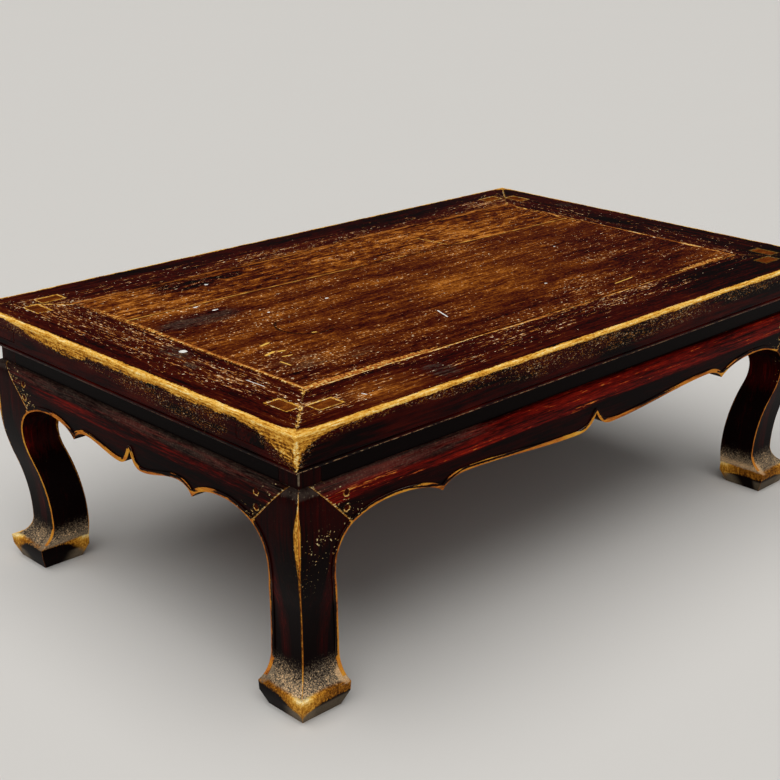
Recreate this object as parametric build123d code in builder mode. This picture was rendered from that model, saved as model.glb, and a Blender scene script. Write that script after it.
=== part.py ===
"""Low kang table: a mitred frame with a floating panel, a recessed waist, bulging aprons and hoofed legs.

The origin is on the floor under the middle of the table. X runs along the table, Y across it, Z up.
Heights are measured up from the floor. A setback is measured inwards from the frame's outer edge,
and a reach is measured along a side from the frame's outer corner.
"""

from build123d import *

import math
import os

os.makedirs("parts", exist_ok=True)

# Overall sizes
table_length = 860.0
table_width = 530.0
table_height = 300.0

# Clearances
fit_gap = 0.15  # round a tenon or tongue in its mortise or groove
end_gap = 1.0  # past the end of a blind tenon or tongue
panel_gap = 0.4  # between the panel and the rails, for the wood's movement
joint_gap = 0.1  # each side of the joint between the boards
peg_gap = 0.05  # round a peg in its hole

# Top frame
rail_width = 81.0
rail_depth = 37.0
rail_arris_radius = 3.0
inner_arris = 1.2
edge_bead_height = 4.0
edge_bead_depth = 1.5
edge_groove_width = 1.8
edge_groove_depth = 1.0

# Through tenon of the long rail, which shows in the end rail's outer face
rail_tenon_setback = 42.0
rail_tenon_width = 38.0
rail_tenon_thickness = 12.5
rail_tenon_drop = 12.5  # below the top

# Panel boards
panel_thickness = 15.0
panel_tongue_drop = 5.0
panel_tongue_thickness = 6.0
panel_tongue_length = 9.0
joint_offset_left = 99.0  # of the joint from the middle, at the left end
joint_offset_right = 76.0
board_tongue_width = 5.0
board_tongue_thickness = 5.0

# Battens across the underside of the panel
batten_spacing = 230.0
batten_count = 3
batten_width = 28.0
batten_depth = 19.0
batten_key_width = 27.0
batten_key_undercut = 2.0
batten_key_depth = 5.0
batten_tenon_length = 14.0
batten_tenon_width = 16.0
batten_tenon_thickness = 11.0

# Waist
waist_height = 25.0
waist_setback = 19.0
waist_tongue_thickness = 5.0
waist_tongue_length = 4.0
waist_side_tongue = 6.0
post_width = 27.0

# Aprons
apron_setback = 11.0
apron_thickness = 19.0
shoulder_drop = 18.0
shoulder_radius = 5.0  # of the shoulder's upper arc, where it turns out from the waist
bead_width = 4.5
bead_height = 1.2
bead_run_on = 20.0  # of the bead's line past the mitre
bead_spans = 6  # of the spline that follows each curved stretch of the bead
junction_drop = 46.5  # below the waist, where the apron's lower edge meets the leg
spandrel_drop = 36.0
cusp_drop = 51.0
arch_drop = 40.0
lip_drop = 50.5
peak_drop = 33.0
long_spandrel_run = 48.0
long_cusp_span = 235.5
long_arch_span = 205.0
long_lip_span = 27.0
end_spandrel_run = 41.0
end_cusp_span = 100.0
end_arch_span = 78.0
end_lip_span = 18.0
point_lead = 0.19  # share of a curve's run over which it leaves a sharp point
point_rise = 0.65  # share of its rise gained there
crown_ease = 0.46  # share of its run over which it levels out
mitre_tongue_thickness = 8.0
mitre_tongue_length = 9.0
mitre_tongue_inset = 8.0  # from the mitre's upper and lower ends

# Legs
junction_reach = 77.0
block_reach = 87.0
swell_drop = 42.0  # below the waist, where the leg starts to draw in
throat_reach = 58.5
throat_drop = 80.0
ankle_setback = 31.5
ankle_height = 50.0
inner_ankle_reach = 77.5
inner_ankle_height = 42.0
inner_turn_share = 0.2  # share of the way from the throat to the ankle where the inner line turns over
rim_setback = 14.0
rim_height = 26.0
rim_depth = 10.5
rim_batter = 1.0
rim_reach = 76.5
sole_inset = 6.5
sole_inner_inset = 6.5
leg_tenon_setback = 33.0
leg_tenon_thickness = 15.0
end_rail_tenon_reach = 50.5
long_rail_tenon_reach = 57.0
leg_tenon_width = 27.0

# Pegs through the apron ends
peg_radius = 3.1
peg_sides = 8
peg_reach = 70.0
peg_length = 36.0
peg_drops = (15.0, 30.0)  # below the waist
peg_chamfer = 0.8

# Heights and places worked out from the sizes above
half_length = table_length / 2
half_width = table_width / 2
frame_base = table_height - rail_depth
waist_base = frame_base - waist_height
junction_height = waist_base - junction_drop
apron_back = apron_setback + apron_thickness
mitre_top_reach = junction_reach - junction_drop
post_reach = waist_setback + post_width
waist_tongue_setback = (waist_setback + apron_back - waist_tongue_thickness) / 2
mitre_tongue_setback = apron_setback + (apron_thickness - mitre_tongue_thickness) / 2
tongue_top = table_height - panel_tongue_drop
tongue_base = tongue_top - panel_tongue_thickness
panel_base = table_height - panel_thickness
panel_half_length = half_length - rail_width - panel_gap
panel_half_width = half_width - rail_width - panel_gap
batten_base = panel_base - batten_depth
batten_tenon_base = batten_base + (batten_depth - batten_tenon_thickness) / 2
batten_middles = [(index - (batten_count - 1) / 2) * batten_spacing for index in range(batten_count)]
peg_end = apron_setback + bead_height + peg_length
beyond = 60.0  # how far a cutting shape runs past what it cuts

# Where each side's piece stands: its outer edge's middle, and its turn about Z
sides = {
    "front": Location((0, -half_width, 0), (0, 0, 0)),
    "right": Location((half_length, 0, 0), (0, 0, 90)),
    "back": Location((0, half_width, 0), (0, 0, 180)),
    "left": Location((-half_length, 0, 0), (0, 0, -90)),
}
side_runs = {"front": table_length, "right": table_width, "back": table_length, "left": table_width}


def block(x_limits, y_limits, z_limits, gap=0.0, mode=Mode.ADD):
    """A straight-sided block between three pairs of limits, grown by a gap in X and Y."""
    x_low, x_high = x_limits[0] - gap, x_limits[1] + gap
    y_low, y_high = y_limits[0] - gap, y_limits[1] + gap
    z_low, z_high = z_limits
    with Locations(((x_low + x_high) / 2, (y_low + y_high) / 2, (z_low + z_high) / 2)):
        Box(x_high - x_low, y_high - y_low, z_high - z_low, mode=mode)


def both_ends(run, reach_limits):
    """The same stretch measured from the right and from the left end of a side."""
    near, far = reach_limits
    return (run / 2 - far, run / 2 - near), (near - run / 2, far - run / 2)


# Top frame. Each rail lies along X with its outer edge at Y = 0 and its middle at X = 0.

end_rail_tenon_across = (end_rail_tenon_reach, end_rail_tenon_reach + leg_tenon_width)
long_rail_tenon_across = (long_rail_tenon_reach, long_rail_tenon_reach + leg_tenon_width)
leg_tenon_depths = (leg_tenon_setback, leg_tenon_setback + leg_tenon_thickness)
rail_tenon_across = (rail_tenon_setback, rail_tenon_setback + rail_tenon_width)
rail_tenon_top = table_height - rail_tenon_drop
rail_tenon_heights = (rail_tenon_top - rail_tenon_thickness, rail_tenon_top)
through_heights = (frame_base - beyond, table_height + beyond)


def rail_section():
    """Draws the section of a rail: rounded upper arris, flat edge, incised line and bead."""
    bead_top = frame_base + edge_bead_height
    groove_top = bead_top + edge_groove_width
    TangentArc((0, bead_top), (edge_bead_depth, frame_base), tangent=(0, -1))
    Polyline(
        (edge_bead_depth, frame_base),
        (rail_width, frame_base),
        (rail_width, table_height - inner_arris),
        (rail_width - inner_arris, table_height),
        (rail_arris_radius, table_height),
    )
    TangentArc(
        (rail_arris_radius, table_height),
        (0, table_height - rail_arris_radius),
        tangent=(-1, 0),
    )
    Polyline(
        (0, table_height - rail_arris_radius),
        (0, groove_top),
        (edge_groove_depth, (groove_top + bead_top) / 2),
        (0, bead_top),
    )


def rail(run):
    """A mitred rail with its panel groove and the groove for the waist's upper tongue."""
    with BuildPart() as body:
        with BuildSketch(Plane.YZ.offset(-run / 2)):
            with BuildLine():
                rail_section()
            make_face()
        extrude(amount=run)
        with BuildSketch(Plane.XY.offset(frame_base)):
            with BuildLine():
                Polyline(
                    (run / 2, 0),
                    (run / 2 - rail_width, rail_width),
                    (rail_width - run / 2, rail_width),
                    (-run / 2, 0),
                    close=True,
                )
            make_face()
        extrude(amount=rail_depth, mode=Mode.INTERSECT)
        block(
            (-run / 2, run / 2),
            (rail_width - panel_tongue_length - end_gap, rail_width + beyond),
            (tongue_base - fit_gap, tongue_top + fit_gap),
            mode=Mode.SUBTRACT,
        )
        block(
            (post_reach - end_gap - run / 2, run / 2 - post_reach + end_gap),
            (waist_tongue_setback - fit_gap, waist_tongue_setback + waist_tongue_thickness + fit_gap),
            (frame_base - beyond, frame_base + waist_tongue_length + end_gap),
            mode=Mode.SUBTRACT,
        )
    return body.part


with BuildPart() as long_rail:
    add(rail(table_length))
    for stretch in both_ends(table_length, (0, rail_width)):
        block(stretch, rail_tenon_across, rail_tenon_heights)
    for stretch in both_ends(table_length, long_rail_tenon_across):
        block(stretch, leg_tenon_depths, through_heights, fit_gap, Mode.SUBTRACT)
    for stretch in both_ends(table_length, leg_tenon_depths):
        block(stretch, end_rail_tenon_across, through_heights, fit_gap, Mode.SUBTRACT)
    for middle in batten_middles:
        block(
            (middle - batten_tenon_width / 2 - fit_gap, middle + batten_tenon_width / 2 + fit_gap),
            (rail_width - batten_tenon_length - end_gap, rail_width + beyond),
            (batten_tenon_base - fit_gap, batten_tenon_base + batten_tenon_thickness + fit_gap),
            mode=Mode.SUBTRACT,
        )

with BuildPart() as end_rail:
    add(rail(table_width))
    for stretch in both_ends(table_width, end_rail_tenon_across):
        block(stretch, leg_tenon_depths, through_heights, fit_gap, Mode.SUBTRACT)
    for low, high in both_ends(table_width, rail_tenon_across):
        block(
            (low - fit_gap, high + fit_gap),
            (-beyond, rail_width + beyond),
            (rail_tenon_heights[0] - fit_gap, rail_tenon_heights[1] + fit_gap),
            mode=Mode.SUBTRACT,
        )

for side, place in sides.items():
    with BuildPart() as side_rail:
        with Locations(place):
            add(long_rail.part if side_runs[side] == table_length else end_rail.part)
    side_rail.part.label = f"{side}_rail"
    export_step(side_rail.part, f"parts/{side}_rail.step")


# Panel: two boards joined by a tongue on a line that runs slightly askew


def board_outline(border, facing, joint_shift):
    """One board's outline, front for -1 and back for 1, with its border grown and its joint shifted."""
    length = panel_half_length + border
    outer = facing * (panel_half_width + border)
    slope = (joint_offset_right - joint_offset_left) / (2 * panel_half_length)
    middle = (joint_offset_right + joint_offset_left) / 2 + joint_shift
    with BuildSketch() as outline:
        with BuildLine():
            Polyline(
                (-length, outer),
                (length, outer),
                (length, middle + slope * length),
                (-length, middle - slope * length),
                close=True,
            )
        make_face()
    return outline.sketch


def batten_key_section(middle, gap):
    """The dovetail on top of a batten, grown by a gap."""
    top = batten_key_width / 2 + gap
    root = top - batten_key_undercut
    key_top = panel_base + batten_key_depth + gap
    with BuildSketch() as outline:
        with BuildLine():
            Polyline(
                (middle - root, panel_base),
                (middle + root, panel_base),
                (middle + top, key_top),
                (middle - top, key_top),
                close=True,
            )
        make_face()
    return outline.sketch


def board(facing):
    """A board flush with the frame's top, tongued into the frame and keyed to the battens."""
    joint_tongue_base = panel_base + (panel_thickness - board_tongue_thickness) / 2
    with BuildPart() as body:
        with BuildSketch(Plane.XY.offset(panel_base)):
            add(board_outline(0, facing, facing * joint_gap))
        extrude(amount=panel_thickness)
        with BuildSketch(Plane.XY.offset(tongue_base)):
            add(board_outline(panel_tongue_length + panel_gap, facing, facing * joint_gap))
        extrude(amount=panel_tongue_thickness)
        if facing < 0:
            with BuildSketch(Plane.XY.offset(joint_tongue_base)):
                add(board_outline(0, facing, board_tongue_width - joint_gap))
            extrude(amount=board_tongue_thickness)
        else:
            with BuildSketch(Plane.XY.offset(joint_tongue_base - fit_gap)):
                add(board_outline(beyond, -facing, board_tongue_width + fit_gap))
            extrude(amount=board_tongue_thickness + 2 * fit_gap, mode=Mode.SUBTRACT)
        with BuildSketch(Plane.XZ.offset(-half_width)):
            for middle in batten_middles:
                add(batten_key_section(middle, fit_gap))
        extrude(amount=table_width, mode=Mode.SUBTRACT)
    return body.part


with BuildPart() as front_panel_board:
    add(board(-1))
front_panel_board.part.label = "front_panel_board"
export_step(front_panel_board.part, "parts/front_panel_board.step")

with BuildPart() as back_panel_board:
    add(board(1))
back_panel_board.part.label = "back_panel_board"
export_step(back_panel_board.part, "parts/back_panel_board.step")


# Battens: dovetailed into the boards and tenoned into the long rails

for name, middle in zip(("left_batten", "middle_batten", "right_batten"), batten_middles):
    with BuildPart() as batten:
        shoulder = half_width - rail_width
        tenon_end = shoulder + batten_tenon_length
        block(
            (middle - batten_width / 2, middle + batten_width / 2),
            (-shoulder, shoulder),
            (batten_base, panel_base),
        )
        block(
            (middle - batten_tenon_width / 2, middle + batten_tenon_width / 2),
            (-tenon_end, tenon_end),
            (batten_tenon_base, batten_tenon_base + batten_tenon_thickness),
        )
        with BuildSketch(Plane.XZ.offset(-shoulder)):
            add(batten_key_section(middle, 0))
        extrude(amount=2 * shoulder)
    batten.part.label = name
    export_step(batten.part, f"parts/{name}.step")


# Waist strips, which stand on the aprons between the posts of the legs


def waist_strip(run):
    """A flat strip with a tongue along each edge and at each end."""
    half_run = run / 2 - post_reach
    tongue_depths = (waist_tongue_setback, waist_tongue_setback + waist_tongue_thickness)
    with BuildPart() as strip:
        block((-half_run, half_run), (waist_setback, apron_back), (waist_base, frame_base))
        block(
            (-half_run, half_run),
            tongue_depths,
            (waist_base - waist_tongue_length, frame_base + waist_tongue_length),
        )
        block(
            (-half_run - waist_side_tongue, half_run + waist_side_tongue),
            tongue_depths,
            (waist_base, frame_base),
        )
    return strip.part


for side, place in sides.items():
    with BuildPart() as side_waist:
        with Locations(place):
            add(waist_strip(side_runs[side]))
    side_waist.part.label = f"{side}_waist"
    export_step(side_waist.part, f"parts/{side}_waist.step")


# Aprons


def shoulder_curve(depth):
    """Draws two tangent arcs from the waist out and down to the face, which is cut back by a depth."""
    run = waist_setback - apron_setback - depth
    top_radius = shoulder_radius - depth / 2
    side_radius = (run**2 + shoulder_drop**2 - 2 * shoulder_drop * top_radius) / (2 * (run - top_radius))
    turn = math.degrees(math.atan2(side_radius - run, shoulder_drop - top_radius))
    top = JernArc((waist_setback, waist_base), (-1, 0), top_radius, turn)
    TangentArc(top @ 1, (waist_setback - run, waist_base - shoulder_drop), tangent=top % 1)


def apron_section(depth, back):
    """What lies between an apron's face, cut back by a depth, and its back, in Y and Z."""
    base = waist_base - cusp_drop - beyond
    face = apron_setback + depth
    with BuildSketch() as outline:
        with BuildLine():
            shoulder_curve(depth)
            Polyline(
                (face, waist_base - shoulder_drop),
                (face, base),
                (back, base),
                (back, waist_base),
                (waist_setback, waist_base),
            )
        make_face()
    return outline.sketch


def curve_from_point(point, crown):
    """Draws a curve that leaves a sharp point steeply and levels out at a crown."""
    run = crown[0] - point[0]
    rise = crown[1] - point[1]
    Bezier(
        point,
        (point[0] + point_lead * run, point[1] + point_rise * rise),
        (crown[0] - crown_ease * run, crown[1]),
        crown,
    )


def level_curve(start, end):
    """Draws a curve that is level at both of its ends."""
    ease = (end[0] - start[0]) / 3
    Bezier(start, (start[0] + ease, start[1]), (end[0] - ease, end[1]), end)


def apron_front(run, spandrel_run, cusp_span, arch_span, lip_span, with_mitres):
    """An apron's front: ogee peak in the middle, low lips, long arches, cusps and spandrels."""
    junction = (run / 2 - junction_reach, junction_height)
    spandrel = (junction[0] - spandrel_run, waist_base - spandrel_drop)
    cusp = (cusp_span, waist_base - cusp_drop)
    arch = (arch_span, waist_base - arch_drop)
    lip = (lip_span, waist_base - lip_drop)
    peak = (0, waist_base - peak_drop)
    with BuildSketch() as outline:
        with BuildLine():
            curve_from_point(peak, lip)
            level_curve(lip, arch)
            curve_from_point(cusp, arch)
            curve_from_point(cusp, spandrel)
            corner = TangentArc(spandrel, junction, tangent=(1, 0))
            if with_mitres:
                Polyline(junction, (run / 2 - mitre_top_reach, waist_base), (0, waist_base))
            else:
                run_on = corner @ 1 + (corner % 1) * bead_run_on
                Polyline(
                    junction,
                    (run_on.X, run_on.Y),
                    (run_on.X + beyond, run_on.Y),
                    (run_on.X + beyond, waist_base + beyond),
                    (0, waist_base + beyond),
                )
            mirror(about=Plane.YZ)
        make_face()
    return outline.sketch


def inside_bead(front):
    """What a bead along the edge of a front leaves within it, with its curves as splines."""
    with BuildSketch() as parallel:
        add(front)
        offset(amount=-bead_width)
    with BuildSketch() as outline:
        with BuildLine():
            for edge in parallel.edges():
                if edge.geom_type in (GeomType.LINE, GeomType.CIRCLE):
                    add(edge)
                else:
                    Spline(*[edge @ (step / bead_spans) for step in range(bead_spans + 1)])
        make_face()
    return outline.sketch


def mitre_tongue(corner, gap):
    """The tongue that an apron's mitre pushes into a leg at this corner, grown by a gap."""
    top = waist_base - mitre_tongue_inset + gap
    base = junction_height + mitre_tongue_inset - gap
    top_root = corner + mitre_top_reach + waist_base - top
    base_root = corner + mitre_top_reach + waist_base - base
    length = mitre_tongue_length + gap
    overlap = mitre_tongue_inset / 2
    with BuildSketch() as outline:
        with BuildLine():
            Polyline(
                (top_root + overlap, top),
                (top_root - length, top),
                (base_root - length, base),
                (base_root + overlap, base),
                close=True,
            )
        make_face()
    return outline.sketch


def apron(run, *front_sizes):
    """An apron with its face bulging out from the waist and a bead along its lower edge."""
    with BuildPart() as field_skin:
        with BuildSketch(Plane.YZ.offset(-run / 2)):
            add(apron_section(bead_height, -beyond))
        extrude(amount=run)
        with BuildSketch(Plane.XZ.offset(beyond)):
            add(inside_bead(apron_front(run, *front_sizes, False)))
        extrude(amount=-beyond - apron_back, mode=Mode.INTERSECT)
    with BuildPart() as body:
        with BuildSketch(Plane.YZ.offset(-run / 2)):
            add(apron_section(0, apron_back))
        extrude(amount=run)
        with BuildSketch(Plane.XZ):
            add(apron_front(run, *front_sizes, True))
        extrude(amount=-apron_back, mode=Mode.INTERSECT)
        add(field_skin.part, mode=Mode.SUBTRACT)
        with BuildSketch(Plane.XZ.offset(-mitre_tongue_setback)):
            add(mitre_tongue(-run / 2, 0))
            mirror(about=Plane.YZ)
        extrude(amount=-mitre_tongue_thickness)
        block(
            (post_reach - end_gap - run / 2, run / 2 - post_reach + end_gap),
            (waist_tongue_setback - fit_gap, waist_tongue_setback + waist_tongue_thickness + fit_gap),
            (waist_base - waist_tongue_length - end_gap, waist_base + beyond),
            mode=Mode.SUBTRACT,
        )
        with BuildSketch(Plane.XZ):
            peg_outlines(run, peg_radius + peg_gap)
        extrude(amount=-apron_back, mode=Mode.SUBTRACT)
    return body.part


def peg_outlines(run, radius):
    """Draws the whittled pegs at both ends of an apron."""
    for reach in (peg_reach - run / 2, run / 2 - peg_reach):
        with Locations(*[(reach, waist_base - drop) for drop in peg_drops]):
            RegularPolygon(radius, peg_sides)


long_front_sizes = (long_spandrel_run, long_cusp_span, long_arch_span, long_lip_span)
end_front_sizes = (end_spandrel_run, end_cusp_span, end_arch_span, end_lip_span)
aprons = {
    table_length: apron(table_length, *long_front_sizes),
    table_width: apron(table_width, *end_front_sizes),
}

for side, place in sides.items():
    with BuildPart() as side_apron:
        with Locations(place):
            add(aprons[side_runs[side]])
    side_apron.part.label = f"{side}_apron"
    export_step(side_apron.part, f"parts/{side}_apron.step")


# Legs. A leg is drawn in its own corner, with X and Y measured inwards from the frame's outer corner.


def s_curve(start, end, turn_share=0.5):
    """Draws two arcs, upright at both ends, that meet at a share of the way and turn opposite ways."""
    run, rise = end[0] - start[0], end[1] - start[1]
    meeting = (start[0] + turn_share * run, start[1] + turn_share * rise)
    TangentArc(start, meeting, tangent=(0, rise))
    TangentArc(end, meeting, tangent=(0, -rise))


def leg_face_line(depth):
    """Draws the leg's outer line from the waist to the rim of the foot, cut back by a depth."""
    face = apron_setback + depth
    ankle = (ankle_setback + depth, ankle_height)
    shoulder_curve(depth)
    Line((face, waist_base - shoulder_drop), (face, waist_base - swell_drop))
    s_curve((face, waist_base - swell_drop), ankle)
    TangentArc(ankle, (rim_setback + depth, rim_height), tangent=(0, -1))


def leg_inner_line():
    """Draws the leg's inner line from the rim of the foot to the mitre, and returns its last arc."""
    throat = (throat_reach, waist_base - throat_drop)
    ankle = (inner_ankle_reach, inner_ankle_height)
    Line((rim_reach, rim_height), ankle)
    s_curve(ankle, throat, 1 - inner_turn_share)
    return TangentArc(throat, (junction_reach, junction_height), tangent=(0, 1))


def leg_outline():
    """The whole leg as it shows on either of its two faces, up to the frame."""
    rim_base = rim_height - rim_depth
    block_base = junction_height + block_reach - junction_reach
    with BuildSketch() as outline:
        with BuildLine():
            leg_face_line(0)
            leg_inner_line()
            Polyline(
                (rim_setback, rim_height),
                (rim_setback + rim_batter, rim_base),
                (rim_setback + rim_batter + sole_inset, 0),
                (rim_reach - sole_inner_inset, 0),
                (rim_reach, rim_base),
                (rim_reach, rim_height),
            )
            Polyline(
                (junction_reach, junction_height),
                (block_reach, block_base),
                (block_reach, frame_base),
                (waist_setback, frame_base),
                (waist_setback, waist_base),
            )
        make_face()
    return outline.sketch


def leg_skin():
    """The layer in front of the leg's field, seen along that field."""
    with BuildSketch() as outline:
        with BuildLine():
            leg_face_line(bead_height)
            Polyline(
                (rim_setback + bead_height, rim_height),
                (-beyond, rim_height),
                (-beyond, waist_base),
                (waist_setback, waist_base),
            )
        make_face()
    return outline.sketch


def leg_field():
    """The leg's front within the bead along its inner line, run on past both of its ends."""
    with BuildSketch() as outline:
        with BuildLine():
            last = leg_inner_line()
            run_on = last @ 1 + (last % 1) * bead_run_on
            Polyline(
                (rim_reach, rim_height),
                (rim_reach, rim_height - beyond),
                (-beyond, rim_height - beyond),
                (-beyond, waist_base + beyond),
                (run_on.X, waist_base + beyond),
                (run_on.X, run_on.Y),
                (junction_reach, junction_height),
            )
        make_face()
    return inside_bead(outline.sketch)


def apron_seat():
    """The seat that an apron's end takes, from the mitre inwards."""
    past = junction_height - beyond / 2
    with BuildSketch() as outline:
        with BuildLine():
            Polyline(
                (mitre_top_reach, waist_base),
                (mitre_top_reach + waist_base - past, past),
                (block_reach + beyond, past),
                (block_reach + beyond, waist_base),
                close=True,
            )
        make_face()
    return outline.sketch


with BuildPart() as front_cuts:
    with BuildSketch(Plane.YZ):
        add(leg_skin())
    extrude(amount=block_reach + beyond)
    with BuildSketch(Plane.XZ):
        add(leg_field())
    extrude(amount=-block_reach, mode=Mode.INTERSECT)
    with BuildSketch(Plane.XZ):
        add(apron_seat())
    extrude(amount=-apron_back)
    block((post_reach, block_reach + beyond), (0, apron_back), (waist_base - fit_gap, frame_base + beyond))
    block(
        (post_reach - waist_side_tongue - end_gap, post_reach + beyond),
        (waist_tongue_setback - fit_gap, waist_tongue_setback + waist_tongue_thickness + fit_gap),
        (waist_base, frame_base + beyond),
    )
    with BuildSketch(Plane.XZ.offset(fit_gap - mitre_tongue_setback)):
        add(mitre_tongue(0, fit_gap))
    extrude(amount=-mitre_tongue_thickness - 2 * fit_gap)
    with BuildSketch(Plane.XZ):
        peg_outlines(0, peg_radius + peg_gap)
    extrude(amount=-peg_end - end_gap)

with BuildPart() as corner_leg:
    with BuildSketch(Plane.YZ):
        add(leg_outline())
    extrude(amount=block_reach + beyond)
    with BuildSketch(Plane.XZ):
        add(leg_outline())
    extrude(amount=-block_reach - beyond, mode=Mode.INTERSECT)
    add(front_cuts.part, mode=Mode.SUBTRACT)
    mirror(front_cuts.part, about=Plane((0, 0, 0), z_dir=(1, -1, 0)), mode=Mode.SUBTRACT)
    block(leg_tenon_depths, end_rail_tenon_across, (frame_base, table_height))
    block(long_rail_tenon_across, leg_tenon_depths, (frame_base, table_height))

with BuildPart() as front_left_leg:
    with Locations((-half_length, -half_width, 0)):
        add(corner_leg.part)
with BuildPart() as front_right_leg:
    mirror(front_left_leg.part, about=Plane.YZ)
with BuildPart() as back_left_leg:
    mirror(front_left_leg.part, about=Plane.XZ)
with BuildPart() as back_right_leg:
    mirror(back_left_leg.part, about=Plane.YZ)

legs = {
    "front_left_leg": front_left_leg,
    "front_right_leg": front_right_leg,
    "back_left_leg": back_left_leg,
    "back_right_leg": back_right_leg,
}
for name, leg in legs.items():
    leg.part.label = name
    export_step(leg.part, f"parts/{name}.step")


# Pegs, two at each end of each apron, driven through it into the leg's block


def side_pegs(run):
    """The four pegs of one side, flush with the apron's field."""
    with BuildPart() as pegs:
        with BuildSketch(Plane.XZ.offset(-apron_setback - bead_height)):
            peg_outlines(run, peg_radius)
        extrude(amount=-peg_length)
        chamfer(pegs.edges().group_by(Axis.Y)[-1], peg_chamfer)
    return pegs.part


with BuildPart() as apron_pegs:
    for side, place in sides.items():
        with Locations(place):
            add(side_pegs(side_runs[side]))
apron_pegs.part.label = "apron_pegs"
export_step(apron_pegs.part, "parts/apron_pegs.step")
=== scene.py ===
"""Dresses a low kang table in worn lacquer, and sets it on a pale studio floor.

Lengths are in metres. The table stands on Z = 0 with its middle on the origin, X along it and Y across it.
"""

import math
from functools import reduce

import bmesh
import bpy
from mathutils import Matrix, Vector
from mathutils.kdtree import KDTree


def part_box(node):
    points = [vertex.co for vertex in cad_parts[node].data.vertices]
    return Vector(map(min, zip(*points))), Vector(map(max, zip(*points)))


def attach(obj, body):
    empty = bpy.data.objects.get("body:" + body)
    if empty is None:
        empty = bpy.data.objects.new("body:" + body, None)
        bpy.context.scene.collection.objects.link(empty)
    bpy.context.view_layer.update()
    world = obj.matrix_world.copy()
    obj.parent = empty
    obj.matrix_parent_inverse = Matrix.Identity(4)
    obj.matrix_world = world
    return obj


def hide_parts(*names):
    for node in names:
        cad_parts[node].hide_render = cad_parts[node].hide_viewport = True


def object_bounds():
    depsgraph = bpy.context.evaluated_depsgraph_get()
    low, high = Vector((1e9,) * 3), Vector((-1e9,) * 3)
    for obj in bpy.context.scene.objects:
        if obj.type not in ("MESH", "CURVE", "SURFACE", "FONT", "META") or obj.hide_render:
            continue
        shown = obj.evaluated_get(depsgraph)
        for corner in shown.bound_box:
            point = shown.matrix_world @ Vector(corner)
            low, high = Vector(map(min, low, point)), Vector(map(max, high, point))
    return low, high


bl_info = {
    "name": "Kang table finish",
    "version": (1, 0, 0),
    "blender": (4, 5, 0),
    "location": "3D View > Sidebar > Kang table",
    "description": "Dresses the frame, panel, aprons and legs of a low table in worn lacquer",
    "category": "Object",
}

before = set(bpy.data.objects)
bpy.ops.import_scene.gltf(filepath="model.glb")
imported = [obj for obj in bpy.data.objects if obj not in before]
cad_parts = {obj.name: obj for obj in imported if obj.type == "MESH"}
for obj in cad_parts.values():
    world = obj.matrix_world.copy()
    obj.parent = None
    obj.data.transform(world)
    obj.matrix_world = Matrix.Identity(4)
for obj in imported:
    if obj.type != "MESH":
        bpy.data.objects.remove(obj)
cad_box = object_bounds()

# Sizes taken from the frame
half_length, half_width, table_height = cad_box[1]
halves = (half_length, half_width)
rail_low, rail_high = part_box("front_rail")
rail_width = rail_high.y - rail_low.y
waist_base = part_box("front_apron")[1].z

# Places of the joints, as the frame has them
peg_reach = 0.070  # from an end or side of the top to the middle of a peg
peg_drops = (0.015, 0.030)  # from the waist down to the pegs
mitre_inset = 0.0305  # from an end or side of the top to where the mitre of leg and apron starts
board_joint = 0.0875  # Y of the joint of the two boards, at the middle of the table
joint_slant = 0.023 / 0.6972  # its fall along X
# Sides of each tenon in the top: nearest and furthest from the end, then from the side
tenon_spans = ((0.033, 0.048, 0.0505, 0.0775), (0.057, 0.084, 0.033, 0.048))

sides = ("front", "right", "back", "left")
corners = ("front_left", "front_right", "back_left", "back_right")
batten_names = ("left_batten", "middle_batten", "right_batten")


def along_side(side):
    """The axis that a side's rail, apron and waist run along."""
    return 0 if side in ("front", "back") else 1


def facing(place, axis):
    """Which way along an axis a side or corner faces outwards: 1 or -1."""
    return 1 if ("right", "back")[axis] in place else -1


def paint(red, green, blue):
    """A colour of the paint box, from its three levels of 255, in linear light."""
    levels = [level / 255 for level in (red, green, blue)]
    linear = [level / 12.92 if level < 0.04045 else ((level + 0.055) / 1.055) ** 2.4 for level in levels]
    return (*linear, 1.0)


def colour(name, description, *levels):
    """A colour that a user can change."""
    return bpy.props.FloatVectorProperty(
        name=name, description=description, subtype="COLOR", size=4, min=0.0, max=1.0, default=paint(*levels)
    )


def length(name, description, size):
    """A length that a user can change."""
    return bpy.props.FloatProperty(name=name, description=description, default=size, min=0.0, unit="LENGTH")


def share(name, description, amount, top=1.0):
    """A plain number that a user can change."""
    return bpy.props.FloatProperty(name=name, description=description, default=amount, min=0.0, max=top)


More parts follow.
